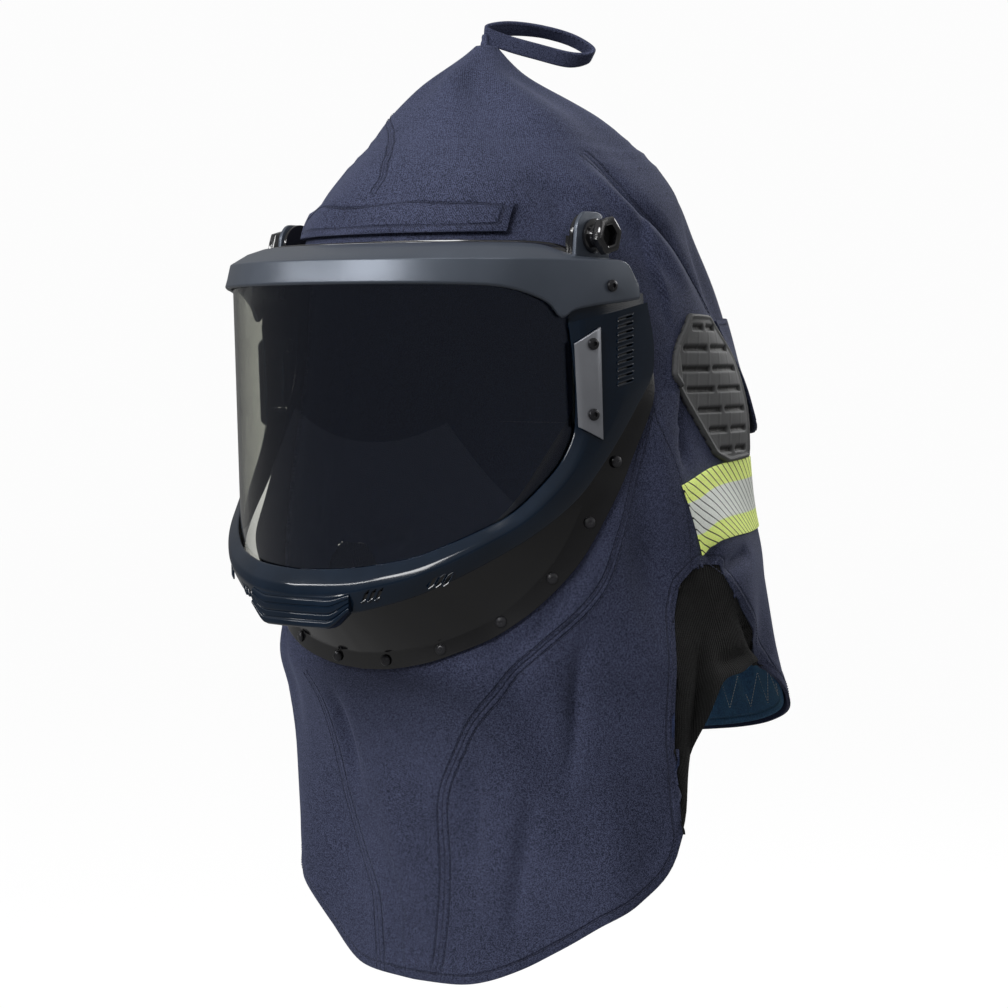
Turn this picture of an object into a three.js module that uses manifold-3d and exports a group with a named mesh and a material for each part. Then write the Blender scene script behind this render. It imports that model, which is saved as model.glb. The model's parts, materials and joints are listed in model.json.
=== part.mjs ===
// Arc flash hood: a quilted cloth hood with a bib, worn over the head and shoulders,
// and a curved lift-up visor that turns on two side pivots.
// Millimetres, +Z up, -Y in front of the wearer, +X at the wearer's left.
// The origin is the head seat, the top of the head inside the crown.

import * as THREE from 'three'
import { mergeVertices } from 'three/addons/utils/BufferGeometryUtils.js'
import Module from 'manifold-3d'

const wasm = await Module()
wasm.setup()

// Sizes of the cloth body
const hoodWidth = 380
const hoodDepth = 350
const crownRise = 76
const hoodDrop = 575
const clothWall = 3
const backRoundness = 2.35
const foldDepth = 9
const crownRows = 13
const crownRowBias = 1.1
const columnStep = 14

// Clearances
const gap = 0.3
const barClearance = 2.6
const shelfSetBack = 2
const earClearance = 0.8
const lipClearance = 3
const skinClearance = 1.2
const panelStandOff = 2
const panelDown = 0.32

// Sizes of the visor
const browDrop = 68
const browStandOff = 71
const browProud = 4.2
const browHeight = 28
const browCrown = 13
const browSwell = 0.12
const browBevel = 1.2
const browRimBevel = 1.5
const browScrewAngle = 76.5
const visorHeight = 251
const visorLean = 12
const shelfDepth = 38
const shelfRoundness = 2.4
const lensWall = 2
const visorWall = 3.5
const visorStations = 24
const browStep = 10
const chinRidges = 3
const chinProud = 3
const chinTop = 0.885
const chinSeat = 1.6
const louvreCount = 10
const louvrePitch = 4.7
const louvreLength = 10
const louvreHeight = 1.8
const louvreAngle = 81.8
const louvreDown = 0.2
const louvreSlant = 2
const chinSlotHeight = 6
const chinSlotWidth = 2.4
const chinSlotPitch = 5.2
const chinSlotRise = 0.8
const chinSlotLean = 0.6
const plateThickness = 2
const plateSeat = visorWall * 1.3
const plateScrewAngle = 71
const plateScrewDrops = [66, 112]

// Sizes of the pivots
const pivotBack = 141
const pivotRise = 5
const panelBehindPivot = 42
const earRadius = 16
const earThickness = 3.2
const legLength = 3.2
const legBehindPivot = 0.1
const knobRadius = 13
const knobLength = 15
const shaftRadius = 4
const screwRadius = 4
const screwHeight = 2.4
const screwSections = 8
const knobSections = 10
const shaftEnd = 1

// Sizes of the face frame
const frameWall = 3
const flangeWidth = 14
const flangeThickness = 2.4
const frameDrop = 270
const frameWidth = 280
const frameStations = 30
const rivetPitch = 44.5
const rivetsPerSide = 7
const rivetRadius = 4
const rivetHeight = 2.2

// Sizes of the sewn-on pieces
const flapThickness = 2.4
const foreheadFlapHeight = 22
const foreheadFlapHalf = 92
const rearFlapHeight = 82
const rearFlapDrop = 116
const rearFlapSpread = 0.3526
const rearFlapHalf = rearFlapSpread * hoodWidth
const rearFlapCorner = 14
const rearFlapFlare = 7
const bandThickness = 1.2
const ventWidth = 102
const ventHeight = 103
const ventDrop = 113
const ventBack = 18
const ventThickness = 2.6
const ventRim = 6
const ventRimRise = 1.4
const ventSlotRows = 7
const ventSlotHeight = 3.4
const ventRib = 4
const ventSlotInset = 1.6
const liningThickness = 2
const liningFront = 0.43
const liningHead = -0.52
const loopLength = 76
const loopHeight = 24
const loopWidth = 10
const loopThickness = 2.4
const loopStem = 4
const loopLean = 38
const loopHeading = 60

// Cross-sections of the cloth. Level is a share of crownRise above the head seat and of hoodDrop
// below it, half is a share of half of hoodWidth, mid, front and back are shares of hoodDepth, and
// round is the front's squareness, 2 for an ellipse.
const clothSections = [
  { level: -1, half: 1, mid: 0.366, front: -0.194, back: 0.63, round: 2.65 },
  { level: -0.878, half: 0.984, mid: 0.343, front: -0.209, back: 0.63, round: 2.8 },
  { level: -0.812, half: 0.974, mid: 0.323, front: -0.214, back: 0.63, round: 2.85 },
  { level: -0.72, half: 0.947, mid: 0.263, front: -0.24, back: 0.63, round: 2.8 },
  { level: -0.65, half: 0.911, mid: 0.229, front: -0.297, back: 0.629, round: 2.55 },
  { level: -0.605, half: 0.895, mid: 0.189, front: -0.343, back: 0.628, round: 2.35 },
  { level: -0.504, half: 0.884, mid: 0.114, front: -0.346, back: 0.626, round: 2.05 },
  { level: -0.435, half: 0.868, mid: 0.08, front: -0.334, back: 0.589, round: 2 },
  { level: -0.348, half: 0.842, mid: 0.069, front: -0.32, back: 0.551, round: 2 },
  { level: -0.252, half: 0.811, mid: 0.08, front: -0.32, back: 0.54, round: 2 },
  { level: -0.174, half: 0.763, mid: 0.057, front: -0.329, back: 0.497, round: 2 },
  { level: -0.104, half: 0.689, mid: 0.043, front: -0.337, back: 0.448, round: 2 },
  { level: -0.052, half: 0.642, mid: 0.069, front: -0.306, back: 0.402, round: 2 },
  { level: 0, half: 0.537, mid: 0.086, front: -0.237, back: 0.333, round: 2 },
  { level: 0.237, half: 0.442, mid: 0.06, front: -0.176, back: 0.265, round: 2 },
  { level: 0.474, half: 0.3, mid: 0.04, front: -0.138, back: 0.192, round: 2 },
  { level: 0.724, half: 0.142, mid: 0.014, front: -0.085, back: 0.09, round: 2 },
  { level: 0.868, half: 0.089, mid: 0.02, front: -0.036, back: 0.062, round: 2 },
  { level: 1, half: 0.037, mid: 0.023, front: 0, back: 0.046, round: 2 },
]

// The hem round the hood. Angle is in degrees from the front, and left and right are its level on
// the wearer's left and right in shares of hoodDrop.
const hemLine = [
  { angle: 0, left: -0.998, right: -0.998 },
  { angle: 10, left: -0.991, right: -0.993 },
  { angle: 21, left: -0.967, right: -0.95 },
  { angle: 30, left: -0.941, right: -0.911 },
  { angle: 41, left: -0.909, right: -0.888 },
  { angle: 51, left: -0.883, right: -0.871 },
  { angle: 60, left: -0.846, right: -0.843 },
  { angle: 66, left: -0.791, right: -0.791 },
  { angle: 72, left: -0.736, right: -0.736 },
  { angle: 79, left: -0.681, right: -0.681 },
  { angle: 86, left: -0.635, right: -0.635 },
  { angle: 92, left: -0.626, right: -0.626 },
  { angle: 101, left: -0.617, right: -0.617 },
  { angle: 112, left: -0.628, right: -0.628 },
  { angle: 128, left: -0.685, right: -0.685 },
  { angle: 145, left: -0.717, right: -0.717 },
  { angle: 180, left: -0.751, right: -0.751 },
]

// Folds and dents of the cloth. Angle and spread are in degrees, from and to are shares of hoodDrop,
// and depth is a share of foldDepth, negative for a valley.
const folds = [
  { angle: 34, spread: 9, from: -0.469, to: -0.806, depth: -0.7 },
  { angle: -36, spread: 10, from: -0.487, to: -0.787, depth: -0.5 },
  { angle: 16, spread: 12, from: -0.731, to: -1.012, depth: 0.5 },
  { angle: -12, spread: 10, from: -0.694, to: -1.012, depth: -0.45 },
  { angle: -30, spread: 12, from: -0.75, to: -1.031, depth: 0.6 },
  { angle: 46, spread: 10, from: -0.656, to: -0.984, depth: 0.5 },
  { angle: -50, spread: 10, from: -0.619, to: -0.937, depth: -0.6 },
  { angle: 74, spread: 9, from: -0.281, to: -0.619, depth: -0.7 },
  { angle: -76, spread: 10, from: -0.281, to: -0.6, depth: -0.6 },
  { angle: 112, spread: 12, from: -0.469, to: -0.75, depth: -0.9 },
  { angle: -116, spread: 12, from: -0.45, to: -0.75, depth: -0.8 },
  { angle: 124, spread: 11, from: 0, to: -0.3, depth: -0.7 },
  { angle: -122, spread: 12, from: 0, to: -0.319, depth: -0.7 },
  { angle: 152, spread: 12, from: -0.375, to: -0.769, depth: 0.7 },
  { angle: -158, spread: 14, from: -0.394, to: -0.769, depth: 0.6 },
  { angle: 178, spread: 12, from: -0.412, to: -0.769, depth: -0.7 },
]

// The knit gusset at each side: seam points as shares of hoodDepth behind the head seat and of
// hoodDrop below it.
const gussetSeam = [
  { back: 0.103, level: -0.491 },
  { back: 0.086, level: -0.497 },
  { back: 0.049, level: -0.515 },
  { back: 0.034, level: -0.55 },
  { back: 0.021, level: -0.631 },
  { back: 0.014, level: -0.701 },
  { back: 0.02, level: -0.79 },
  { back: 0.031, level: -0.837 },
  { back: 0.051, level: -0.87 },
  { back: 0.48, level: -0.87 },
  { back: 0.451, level: -0.682 },
  { back: 0.417, level: -0.643 },
  { back: 0.383, level: -0.619 },
  { back: 0.32, level: -0.588 },
  { back: 0.251, level: -0.553 },
  { back: 0.197, level: -0.522 },
  { back: 0.166, level: -0.495 },
]

// The face frame's window. Half is a share of half of frameWidth, down a share of frameDrop below
// the brow's top edge, flange a share of flangeWidth. The wall's front lip is given the same way,
// and reach is how far it stands out from the cloth towards the visor.
const windowLine = [
  { half: 0, down: -0.007, flange: 0.4, lipHalf: 0, lipDown: -0.007, reach: 1 },
  { half: 0.3, down: -0.007, flange: 0.4, lipHalf: 0.3, lipDown: -0.007, reach: 1 },
  { half: 0.58, down: -0.005, flange: 0.4, lipHalf: 0.58, lipDown: -0.005, reach: 1 },
  { half: 0.78, down: 0.012, flange: 0.3, lipHalf: 0.78, lipDown: 0.012, reach: 0.75 },
  { half: 0.9, down: 0.07, flange: 0.3, lipHalf: 0.88, lipDown: 0.075, reach: 0.35 },
  { half: 0.955, down: 0.15, flange: 0.5, lipHalf: 0.93, lipDown: 0.15, reach: 0.18 },
  { half: 0.99, down: 0.27, flange: 0.8, lipHalf: 0.945, lipDown: 0.27, reach: 0.14 },
  { half: 1, down: 0.4, flange: 1, lipHalf: 0.93, lipDown: 0.4, reach: 0.18 },
  { half: 0.985, down: 0.52, flange: 1, lipHalf: 0.88, lipDown: 0.51, reach: 0.36 },
  { half: 0.938, down: 0.655, flange: 1, lipHalf: 0.8, lipDown: 0.64, reach: 0.62 },
  { half: 0.85, down: 0.785, flange: 1, lipHalf: 0.66, lipDown: 0.74, reach: 0.83 },
  { half: 0.682, down: 0.895, flange: 1, lipHalf: 0.46, lipDown: 0.81, reach: 0.8 },
  { half: 0.443, down: 0.961, flange: 1, lipHalf: 0.26, lipDown: 0.84, reach: 0.8 },
  { half: 0.2, down: 0.992, flange: 1, lipHalf: 0.11, lipDown: 0.85, reach: 0.8 },
  { half: 0, down: 1, flange: 1, lipHalf: 0, lipDown: 0.853, reach: 0.8 },
]

// The brow round the visor's top. Angle is in degrees round the visor, and crest, edge and foot are
// shares of browHeight below browDrop: its shelf's inner edge, the top of its upright face and its
// lower rim.
const browLine = [
  { angle: 0, crest: 0, edge: 0.46, foot: 1 },
  { angle: 25, crest: 0, edge: 0.46, foot: 1 },
  { angle: 45, crest: 0, edge: 0.45, foot: 1.02 },
  { angle: 52, crest: 0, edge: 0.45, foot: 1.08 },
  { angle: 58, crest: 0.01, edge: 0.44, foot: 1.25 },
  { angle: 62, crest: 0.04, edge: 0.44, foot: 1.46 },
  { angle: 64.8, crest: 0.09, edge: 0.44, foot: 1.76 },
  { angle: 67, crest: 0.16, edge: 0.44, foot: 1.61 },
  { angle: 71, crest: 0.34, edge: 0.43, foot: 1.5 },
  { angle: 78, crest: 0.38, edge: 0.43, foot: 1.4 },
  { angle: 81.2, crest: 0.4, edge: 0.5, foot: 1.36 },
  { angle: 84.6, crest: 0.6, edge: 1, foot: 1.3 },
]

// The lower frame from under the brow at the side to the middle of the chin. Angles are in degrees
// round the visor, downs are shares of visorHeight, crest is where across the band its crest runs,
// and proud is the crest's height in shares of visorWall.
const lowerLine = [
  { innerAngle: 66.4, innerDown: 0.208, outerAngle: 87.6, outerDown: 0.152, crest: 0.15, proud: 1.1 },
  { innerAngle: 67.3, innerDown: 0.288, outerAngle: 90, outerDown: 0.276, crest: 0.16, proud: 1.15 },
  { innerAngle: 68, innerDown: 0.388, outerAngle: 89.8, outerDown: 0.328, crest: 0.18, proud: 1.2 },
  { innerAngle: 67.8, innerDown: 0.476, outerAngle: 84, outerDown: 0.432, crest: 0.22, proud: 1.3 },
  { innerAngle: 65, innerDown: 0.556, outerAngle: 75.5, outerDown: 0.565, crest: 0.3, proud: 1.5 },
  { innerAngle: 60.4, innerDown: 0.62, outerAngle: 68, outerDown: 0.665, crest: 0.36, proud: 1.8 },
  { innerAngle: 53, innerDown: 0.696, outerAngle: 58.5, outerDown: 0.748, crest: 0.4, proud: 2 },
  { innerAngle: 44.9, innerDown: 0.744, outerAngle: 48.5, outerDown: 0.815, crest: 0.44, proud: 2.2 },
  { innerAngle: 37, innerDown: 0.783, outerAngle: 39, outerDown: 0.87, crest: 0.48, proud: 2.3 },
  { innerAngle: 29.9, innerDown: 0.812, outerAngle: 30.5, outerDown: 0.911, crest: 0.5, proud: 2.4 },
  { innerAngle: 21, innerDown: 0.832, outerAngle: 21, outerDown: 0.943, crest: 0.52, proud: 2.4 },
  { innerAngle: 13.5, innerDown: 0.843, outerAngle: 13.5, outerDown: 0.96, crest: 0.54, proud: 2.4 },
  { innerAngle: 0, innerDown: 0.851, outerAngle: 0, outerDown: 0.97, crest: 0.55, proud: 2.4 },
]

// The lens's lower edge, hidden behind the lower frame: angle in degrees, down in shares of
// visorHeight.
const lensFoot = [
  { angle: 0, down: 0.905 },
  { angle: 15, down: 0.9 },
  { angle: 30, down: 0.86 },
  { angle: 45, down: 0.778 },
  { angle: 53, down: 0.724 },
  { angle: 60, down: 0.655 },
  { angle: 66, down: 0.59 },
  { angle: 70, down: 0.53 },
  { angle: 74, down: 0.45 },
]

// The chin block's foot: angle in degrees, down in shares of visorHeight.
const chinFoot = [
  { angle: 0, down: 1 },
  { angle: 9.4, down: 1 },
  { angle: 15.5, down: 0.952 },
]

// The groups of three slots beside the chin block: angle in degrees, down in shares of visorHeight,
// and slant in millimetres.
const chinSlots = [
  { angle: 20.7, down: 0.912, slant: 3 },
  { angle: 36.1, down: 0.874, slant: 4 },
]

// The brow's tab behind each knob: its foot and its rim, in shares of earRadius from the pivot.
const tabFoot = [-1.15, 1.2]
const tabRim = [
  { back: 1, rise: 0.4 },
  { back: 0.55, rise: 1 },
  { back: -0.6, rise: 1 },
  { back: -1, rise: 0.5 },
]

// Turned profiles: radius and height are shares of the piece's own radius and height.
const screwProfile = [
  { radius: 0, height: 0 },
  { radius: 1, height: 0 },
  { radius: 1, height: 0.5 },
  { radius: 0.75, height: 1 },
  { radius: 0.35, height: 1 },
  { radius: 0.3, height: 0.55 },
  { radius: 0, height: 0.55 },
]
const rivetProfile = [
  { radius: 0, height: 0 },
  { radius: 1, height: 0 },
  { radius: 0.8, height: 0.65 },
  { radius: 0, height: 1 },
]
const knobProfile = [
  { radius: 0.88, height: 0 },
  { radius: 0.88, height: 0.17 },
  { radius: 0.6, height: 0.3 },
  { radius: 0.8, height: 0.5 },
  { radius: 1, height: 0.62 },
  { radius: 1, height: 0.94 },
  { radius: 0.9, height: 1 },
  { radius: 0.6, height: 1 },
  { radius: 0.5, height: 0.6 },
  { radius: 0, height: 0.6 },
]

// The side plate's corners: angle in degrees, down in shares of visorHeight.
const plateCorners = [
  { frontAngle: 67.9, rearAngle: 73.3, frontDown: 0.25, rearDown: 0.219 },
  { frontAngle: 68.7, rearAngle: 73.7, frontDown: 0.478, rearDown: 0.509 },
]

// The vent cover's outline: back a share of ventWidth, down a share of ventHeight.
const ventOutline = [
  { back: 0.255, down: 0 },
  { back: 0.569, down: 0 },
  { back: 0.922, down: 0.272 },
  { back: 1, down: 0.65 },
  { back: 0.98, down: 0.981 },
  { back: 0.647, down: 1 },
  { back: 0.471, down: 0.942 },
  { back: 0, down: 0.408 },
  { back: 0.039, down: 0.252 },
]

// The forehead flap's wavy top edge, from the wearer's left to the right: across a share of
// foreheadFlapHalf, rise a share of foreheadFlapHeight.
const flapTop = [
  { across: 1, rise: 0.86 },
  { across: 0.72, rise: 0.97 },
  { across: 0.4, rise: 1.1 },
  { across: 0.12, rise: 0.96 },
  { across: -0.16, rise: 0.9 },
  { across: -0.5, rise: 1.02 },
  { across: -0.8, rise: 0.86 },
  { across: -1, rise: 0.8 },
]

// The reflective band seen from the side, run round the back: back a share of hoodDepth, level a
// share of hoodDrop.
const bandLine = [
  { back: 0.054, level: -0.398 },
  { back: 0.171, level: -0.379 },
  { back: 0.343, level: -0.372 },
  { back: 0.657, level: -0.37 },
  { back: 0.657, level: -0.459 },
  { back: 0.343, level: -0.461 },
  { back: 0.171, level: -0.466 },
  { back: 0.109, level: -0.482 },
]

// The hanging loop's run: along a share of loopLength, rise a share of loopHeight.
const loopRun = [
  { along: 0, rise: 0 },
  { along: 0.1, rise: 0.2 },
  { along: 0.3, rise: 0.3 },
  { along: 0.58, rise: 0.22 },
  { along: 0.84, rise: -0.06 },
  { along: 1, rise: -0.5 },
  { along: 0.96, rise: -0.78 },
  { along: 0.76, rise: -0.88 },
  { along: 0.45, rise: -0.6 },
  { along: 0.17, rise: -0.3 },
]

const degrees = Math.PI / 180
const sides = [{ name: 'left', sign: 1 }, { name: 'right', sign: -1 }]

// A value between the rows of a table, on a smooth curve that never overshoots a row.
function alongTable(rows, key, column, at) {
  const last = rows.length - 1
  if (at <= rows[0][key]) return rows[0][column]
  if (at >= rows[last][key]) return rows[last][column]
  const i = rows.findIndex((row) => row[key] > at) - 1
  const rise = (k) => (rows[k + 1][column] - rows[k][column]) / (rows[k + 1][key] - rows[k][key])
  const slope = (k) => {
    if (k === 0) return rise(0)
    if (k === last) return rise(last - 1)
    if (rise(k - 1) * rise(k) <= 0) return 0
    const mean = (rise(k - 1) + rise(k)) / 2
    const most = 3 * Math.min(Math.abs(rise(k - 1)), Math.abs(rise(k)))
    return Math.sign(mean) * Math.min(Math.abs(mean), most)
  }
  const width = rows[i + 1][key] - rows[i][key]
  const s = (at - rows[i][key]) / width
  const start = rows[i][column] * (1 + 2 * s) * (1 - s) ** 2 + rows[i + 1][column] * s * s * (3 - 2 * s)
  return start + width * s * (1 - s) * (slope(i) * (1 - s) - slope(i + 1) * s)
}

// A table read at an even share of its rows, from 0 at the first row to 1 at the last.
function alongRows(rows, column, share) {
  const numbered = rows.map((row, number) => ({ number, [column]: row[column] }))
  return alongTable(numbered, 'number', column, share * (rows.length - 1))
}

const mix = (a, b, share) => a + (b - a) * share
const evenly = (count) => Array.from({ length: count + 1 }, (_, i) => i / count)
const power = (value, roundness) => Math.sign(value) * Math.abs(value) ** (2 / roundness)

// Solids

function withoutSlivers(geometry) {
  const index = Array.from(geometry.index.array)
  const kept = []
  for (let i = 0; i < index.length; i += 3) {
    const [a, b, c] = index.slice(i, i + 3)
    if (a !== b && b !== c && c !== a) kept.push(a, b, c)
  }
  geometry.setIndex(kept)
  return geometry
}

function welded(geometry) {
  geometry.deleteAttribute('normal')
  geometry.deleteAttribute('uv')
  return withoutSlivers(mergeVertices(geometry, 1e-4))
}

function solidOf(geometry) {
  const closed = welded(geometry)
  return new wasm.Manifold(new wasm.Mesh({
    numProp: 3,
    vertProperties: new Float32Array(closed.attributes.position.array),
    triVerts: new Uint32Array(closed.index.array),
  }))
}

function geometryOf(solid) {
  const { vertProperties, triVerts } = solid.getMesh()
  const geometry = new THREE.BufferGeometry()
  geometry.setAttribute('position', new THREE.BufferAttribute(vertProperties, 3))
  geometry.setIndex(new THREE.BufferAttribute(triVerts, 1))
  geometry.computeVertexNormals()
  return geometry
}

function volumeOf(points, index) {
  let volume = 0
  for (let i = 0; i < index.length; i += 3) {
    const [a, b, c] = index.slice(i, i + 3).map((k) => points[k])
    volume += a.dot(b.clone().cross(c)) / 6
  }
  return volume
}

// A wall through stations, each with an outer and an inner row of points. A closed wall joins its
// last station to its first, and an open one has an end face at both.
function wallGeometry(stations, closed = false) {
  const count = stations[0].outer.length
  const points = stations.flatMap(({ outer, inner }) => [...outer, ...inner])
  const at = (station, side, k) => ((station % stations.length) * 2 + side) * count + k
  const index = []
  const quad = (a, b, c, d) => index.push(a, b, c, a, c, d)
  const end = stations.length - 1
  for (let i = 0; i < (closed ? end + 1 : end); i++) {
    for (let k = 0; k < count - 1; k++) {
      quad(at(i, 0, k), at(i, 0, k + 1), at(i + 1, 0, k + 1), at(i + 1, 0, k))
      quad(at(i, 1, k), at(i + 1, 1, k), at(i + 1, 1, k + 1), at(i, 1, k + 1))
    }
    quad(at(i, 0, 0), at(i + 1, 0, 0), at(i + 1, 1, 0), at(i, 1, 0))
    quad(at(i, 0, count - 1), at(i, 1, count - 1), at(i + 1, 1, count - 1), at(i + 1, 0, count - 1))
  }
  for (let k = 0; k < count - 1 && !closed; k++) {
    quad(at(0, 0, k), at(0, 1, k), at(0, 1, k + 1), at(0, 0, k + 1))
    quad(at(end, 0, k), at(end, 0, k + 1), at(end, 1, k + 1), at(end, 1, k))
  }
  if (volumeOf(points, index) < 0) index.reverse()
  const geometry = new THREE.BufferGeometry().setFromPoints(points)
  geometry.setIndex(index)
  return welded(geometry)
}

const wallSolid = (stations, closed) => solidOf(wallGeometry(stations, closed))

// A straight prism along X or Y whose outline is given as [across, up] pairs.
function prism(outline, axis, low, high) {
  const shape = new THREE.Shape(outline.map(([across, up]) => new THREE.Vector2(across, up)))
  const geometry = new THREE.ExtrudeGeometry(shape, { depth: high - low, bevelEnabled: false })
  const [x, y, z] = [[1, 0, 0], [0, 1, 0], [0, 0, 1]].map((v) => new THREE.Vector3(...v))
  if (axis === 'x') {
    geometry.applyMatrix4(new THREE.Matrix4().makeBasis(y, z, x))
    geometry.translate(low, 0, 0)
  } else {
    geometry.applyMatrix4(new THREE.Matrix4().makeBasis(x, z, y.negate()))
    geometry.translate(0, high, 0)
  }
  return solidOf(geometry)
}

// An outline of [across, up] pairs moved outwards, or inwards when by is negative.
function grown(outline, by) {
  const area = outline.reduce((sum, [a, b], i) => {
    const [c, d] = outline[(i + 1) % outline.length]
    return sum + (a * d - b * c) / 2
  }, 0)
  const outward = Math.sign(area)
  return outline.map(([a, b], i) => {
    const before = outline[(i + outline.length - 1) % outline.length]
    const after = outline[(i + 1) % outline.length]
    const first = new THREE.Vector2(b - before[1], before[0] - a).normalize()
    const second = new THREE.Vector2(after[1] - b, a - after[0]).normalize()
    const corner = first.clone().add(second).normalize()
    const step = (outward * by) / Math.max(corner.dot(first), 0.5)
    return [a + corner.x * step, b + corner.y * step]
  })
}

// A flat plate of an outline in the Y-Z plane, between two distances from the middle plane.
const sidePlate = (sign, outline, near, far) => {
  const [low, high] = sign > 0 ? [near, far] : [-far, -near]
  return prism(outline, 'x', low, high)
}

const circle = (radius, across, up, count) => evenly(count).slice(1).map((share) => [
  across + radius * Math.cos(share * 2 * Math.PI),
  up + radius * Math.sin(share * 2 * Math.PI),
])

// The cloth surface

const levelOf = (z) => (z > 0 ? z / crownRise : z / hoodDrop)
const heightOf = (level) => (level > 0 ? level * crownRise : level * hoodDrop)

function clothSection(z) {
  const read = (column) => alongTable(clothSections, 'level', column, levelOf(z))
  return {
    half: read('half') * hoodWidth / 2,
    mid: read('mid') * hoodDepth,
    front: read('front') * hoodDepth,
    back: read('back') * hoodDepth,
    round: read('round'),
  }
}

const bump = (share) => (Math.abs(share) < 1 ? (1 + Math.cos(Math.PI * share)) / 2 : 0)

function foldHeight(angle, level) {
  return folds.reduce((sum, fold) => {
    const away = ((angle / degrees - fold.angle + 540) % 360) - 180
    const along = (level - (fold.from + fold.to) / 2) / (Math.abs(fold.to - fold.from) / 2)
    return sum + fold.depth * foldDepth * bump(away / fold.spread) * bump(along)
  }, 0)
}

// A point of the cloth's outer face. Angle is in radians from the front towards the wearer's left.
function clothSkin(angle, z) {
  const { half, mid, front, back, round } = clothSection(z)
  const ahead = Math.cos(angle) > 0
  const roundness = ahead ? round : backRoundness
  const depth = ahead ? mid - front : back - mid
  const fold = foldHeight(angle, levelOf(z))
  return new THREE.Vector3(
    half * power(Math.sin(angle), roundness) + fold * Math.sin(angle),
    mid - depth * power(Math.cos(angle), roundness) - fold * Math.cos(angle),
    z,
  )
}

// The same point moved out along the cloth's own normal.
function clothPoint(angle, z, offset) {
  const turn = 0.03
  const climb = 1
  const across = clothSkin(angle + turn, z).sub(clothSkin(angle - turn, z))
  const up = clothSkin(angle, z + climb).sub(clothSkin(angle, z - climb))
  const normal = across.cross(up).normalize()
  return clothSkin(angle, z).addScaledVector(normal, offset)
}

// The angle at which the front of the cloth has a given distance from the middle plane.
function frontAngle(x, z) {
  const { half, round } = clothSection(z)
  const share = Math.min(Math.abs(x) / half, 1)
  return Math.sign(x) * Math.asin(share ** (round / 2))
}

const frontPoint = (x, z, offset) => clothPoint(frontAngle(x, z), z, offset)

// The angle at which the side of the cloth is level with a given distance along Y.
function sideAngle(y, z) {
  const { mid, front, back, round } = clothSection(z)
  const roundness = y < mid ? round : backRoundness
  const share = (mid - y) / (y < mid ? mid - front : back - mid)
  return Math.acos(power(share, 4 / roundness))
}

const hemHeight = (angle) => {
  const turned = ((angle / degrees + 540) % 360) - 180
  return hoodDrop * alongTable(hemLine, 'angle', turned < 0 ? 'right' : 'left', Math.abs(turned))
}

// The angles in degrees of the hood's columns, all the way round
function hoodColumns() {
  const half = hemLine.flatMap(({ angle }, i) => {
    const next = hemLine[i + 1]
    if (!next) return [angle]
    const parts = Math.ceil((next.angle - angle) / columnStep)
    return evenly(parts).slice(0, -1).map((share) => mix(angle, next.angle, share))
  })
  return [...half, ...half.slice(1, -1).reverse().map((angle) => -angle)]
}

// A closed layer over the whole hood between two offsets from the cloth's outer face. Every piece
// that lies on the hood is cut from such a layer, so that all of them share the same facets. Flare
// gives a further offset at a height.
function clothLayer(near, far, flare = () => 0) {
  const top = new THREE.Vector3(0, clothSection(crownRise).mid, crownRise)
  return wallSolid(hoodColumns().map((turn) => {
    const angle = turn * degrees
    const heights = evenly(crownRows).map((share) => mix(crownRise, hemHeight(angle), share ** crownRowBias))
    const row = (offset) => [
      top.clone().setZ(crownRise + offset + 1),
      ...heights.map((z) => clothPoint(angle, z, offset + flare(z))),
    ]
    return { outer: row(far), inner: row(near) }
  }), true)
}

// Places on the visor

const clothX = (y, z) => clothSkin(sideAngle(y, z), z).x
const browZ = -browDrop
const visorZ = (down) => browZ - down * visorHeight
const browLevel = (down) => browZ - down * browHeight
const visorFront = clothSkin(0, browLevel(1)).y - browStandOff
const pivot = { y: visorFront + pivotBack, z: browZ + pivotRise }
const visorBack = pivot.y + panelBehindPivot
const visorReach = visorBack - visorFront
const visorHalf = clothX(visorBack, visorZ(panelDown)) + panelStandOff
const earNear = clothX(pivot.y + earRadius, pivot.z - earRadius) + earClearance
const earFar = earNear + earThickness
const moverNear = earFar + earClearance
const moverFar = moverNear + earThickness
const lensHalf = lensWall / 2
const skinStart = lensHalf + skinClearance
const skinEnd = skinStart + visorWall

// A point of the visor at an angle in degrees round it and a height, moved out by an offset.
function visorPoint(angle, z, offset) {
  const turn = angle * degrees
  const lean = visorLean * Math.max(0, (browLevel(1) - z) / visorHeight)
  const reach = visorReach - lean
  const normal = new THREE.Vector3(Math.sin(turn) / visorHalf, -Math.cos(turn) / reach, 0).normalize()
  return new THREE.Vector3(visorHalf * Math.sin(turn), visorBack - reach * Math.cos(turn), z)
    .addScaledVector(normal, offset)
}

function visorNormal(angle, z) {
  return visorPoint(angle, z, 1).sub(visorPoint(angle, z, 0)).normalize()
}

// The inner edge of the brow's shelf
const shelfHalf = moverNear + earThickness / 2
const shelfReach = visorReach - shelfDepth
const shelfPoint = (angle, z) => new THREE.Vector3(
  shelfHalf * power(Math.sin(angle * degrees), shelfRoundness),
  visorBack - shelfReach * power(Math.cos(angle * degrees), shelfRoundness),
  z,
)

function shelfY(x) {
  const share = Math.min(Math.abs(x) / shelfHalf, 1)
  return visorBack - shelfReach * (1 - share ** shelfRoundness) ** (1 / shelfRoundness)
}

const mirrored = (rows, key) => [
  ...rows.slice(1).reverse().map((row) => ({ ...row, [key]: -row[key] })),
  ...rows,
]

// Cloth pieces

function gussetOutline() {
  return gussetSeam.map(({ back, level }) => [back * hoodDepth, level * hoodDrop])
}

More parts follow.
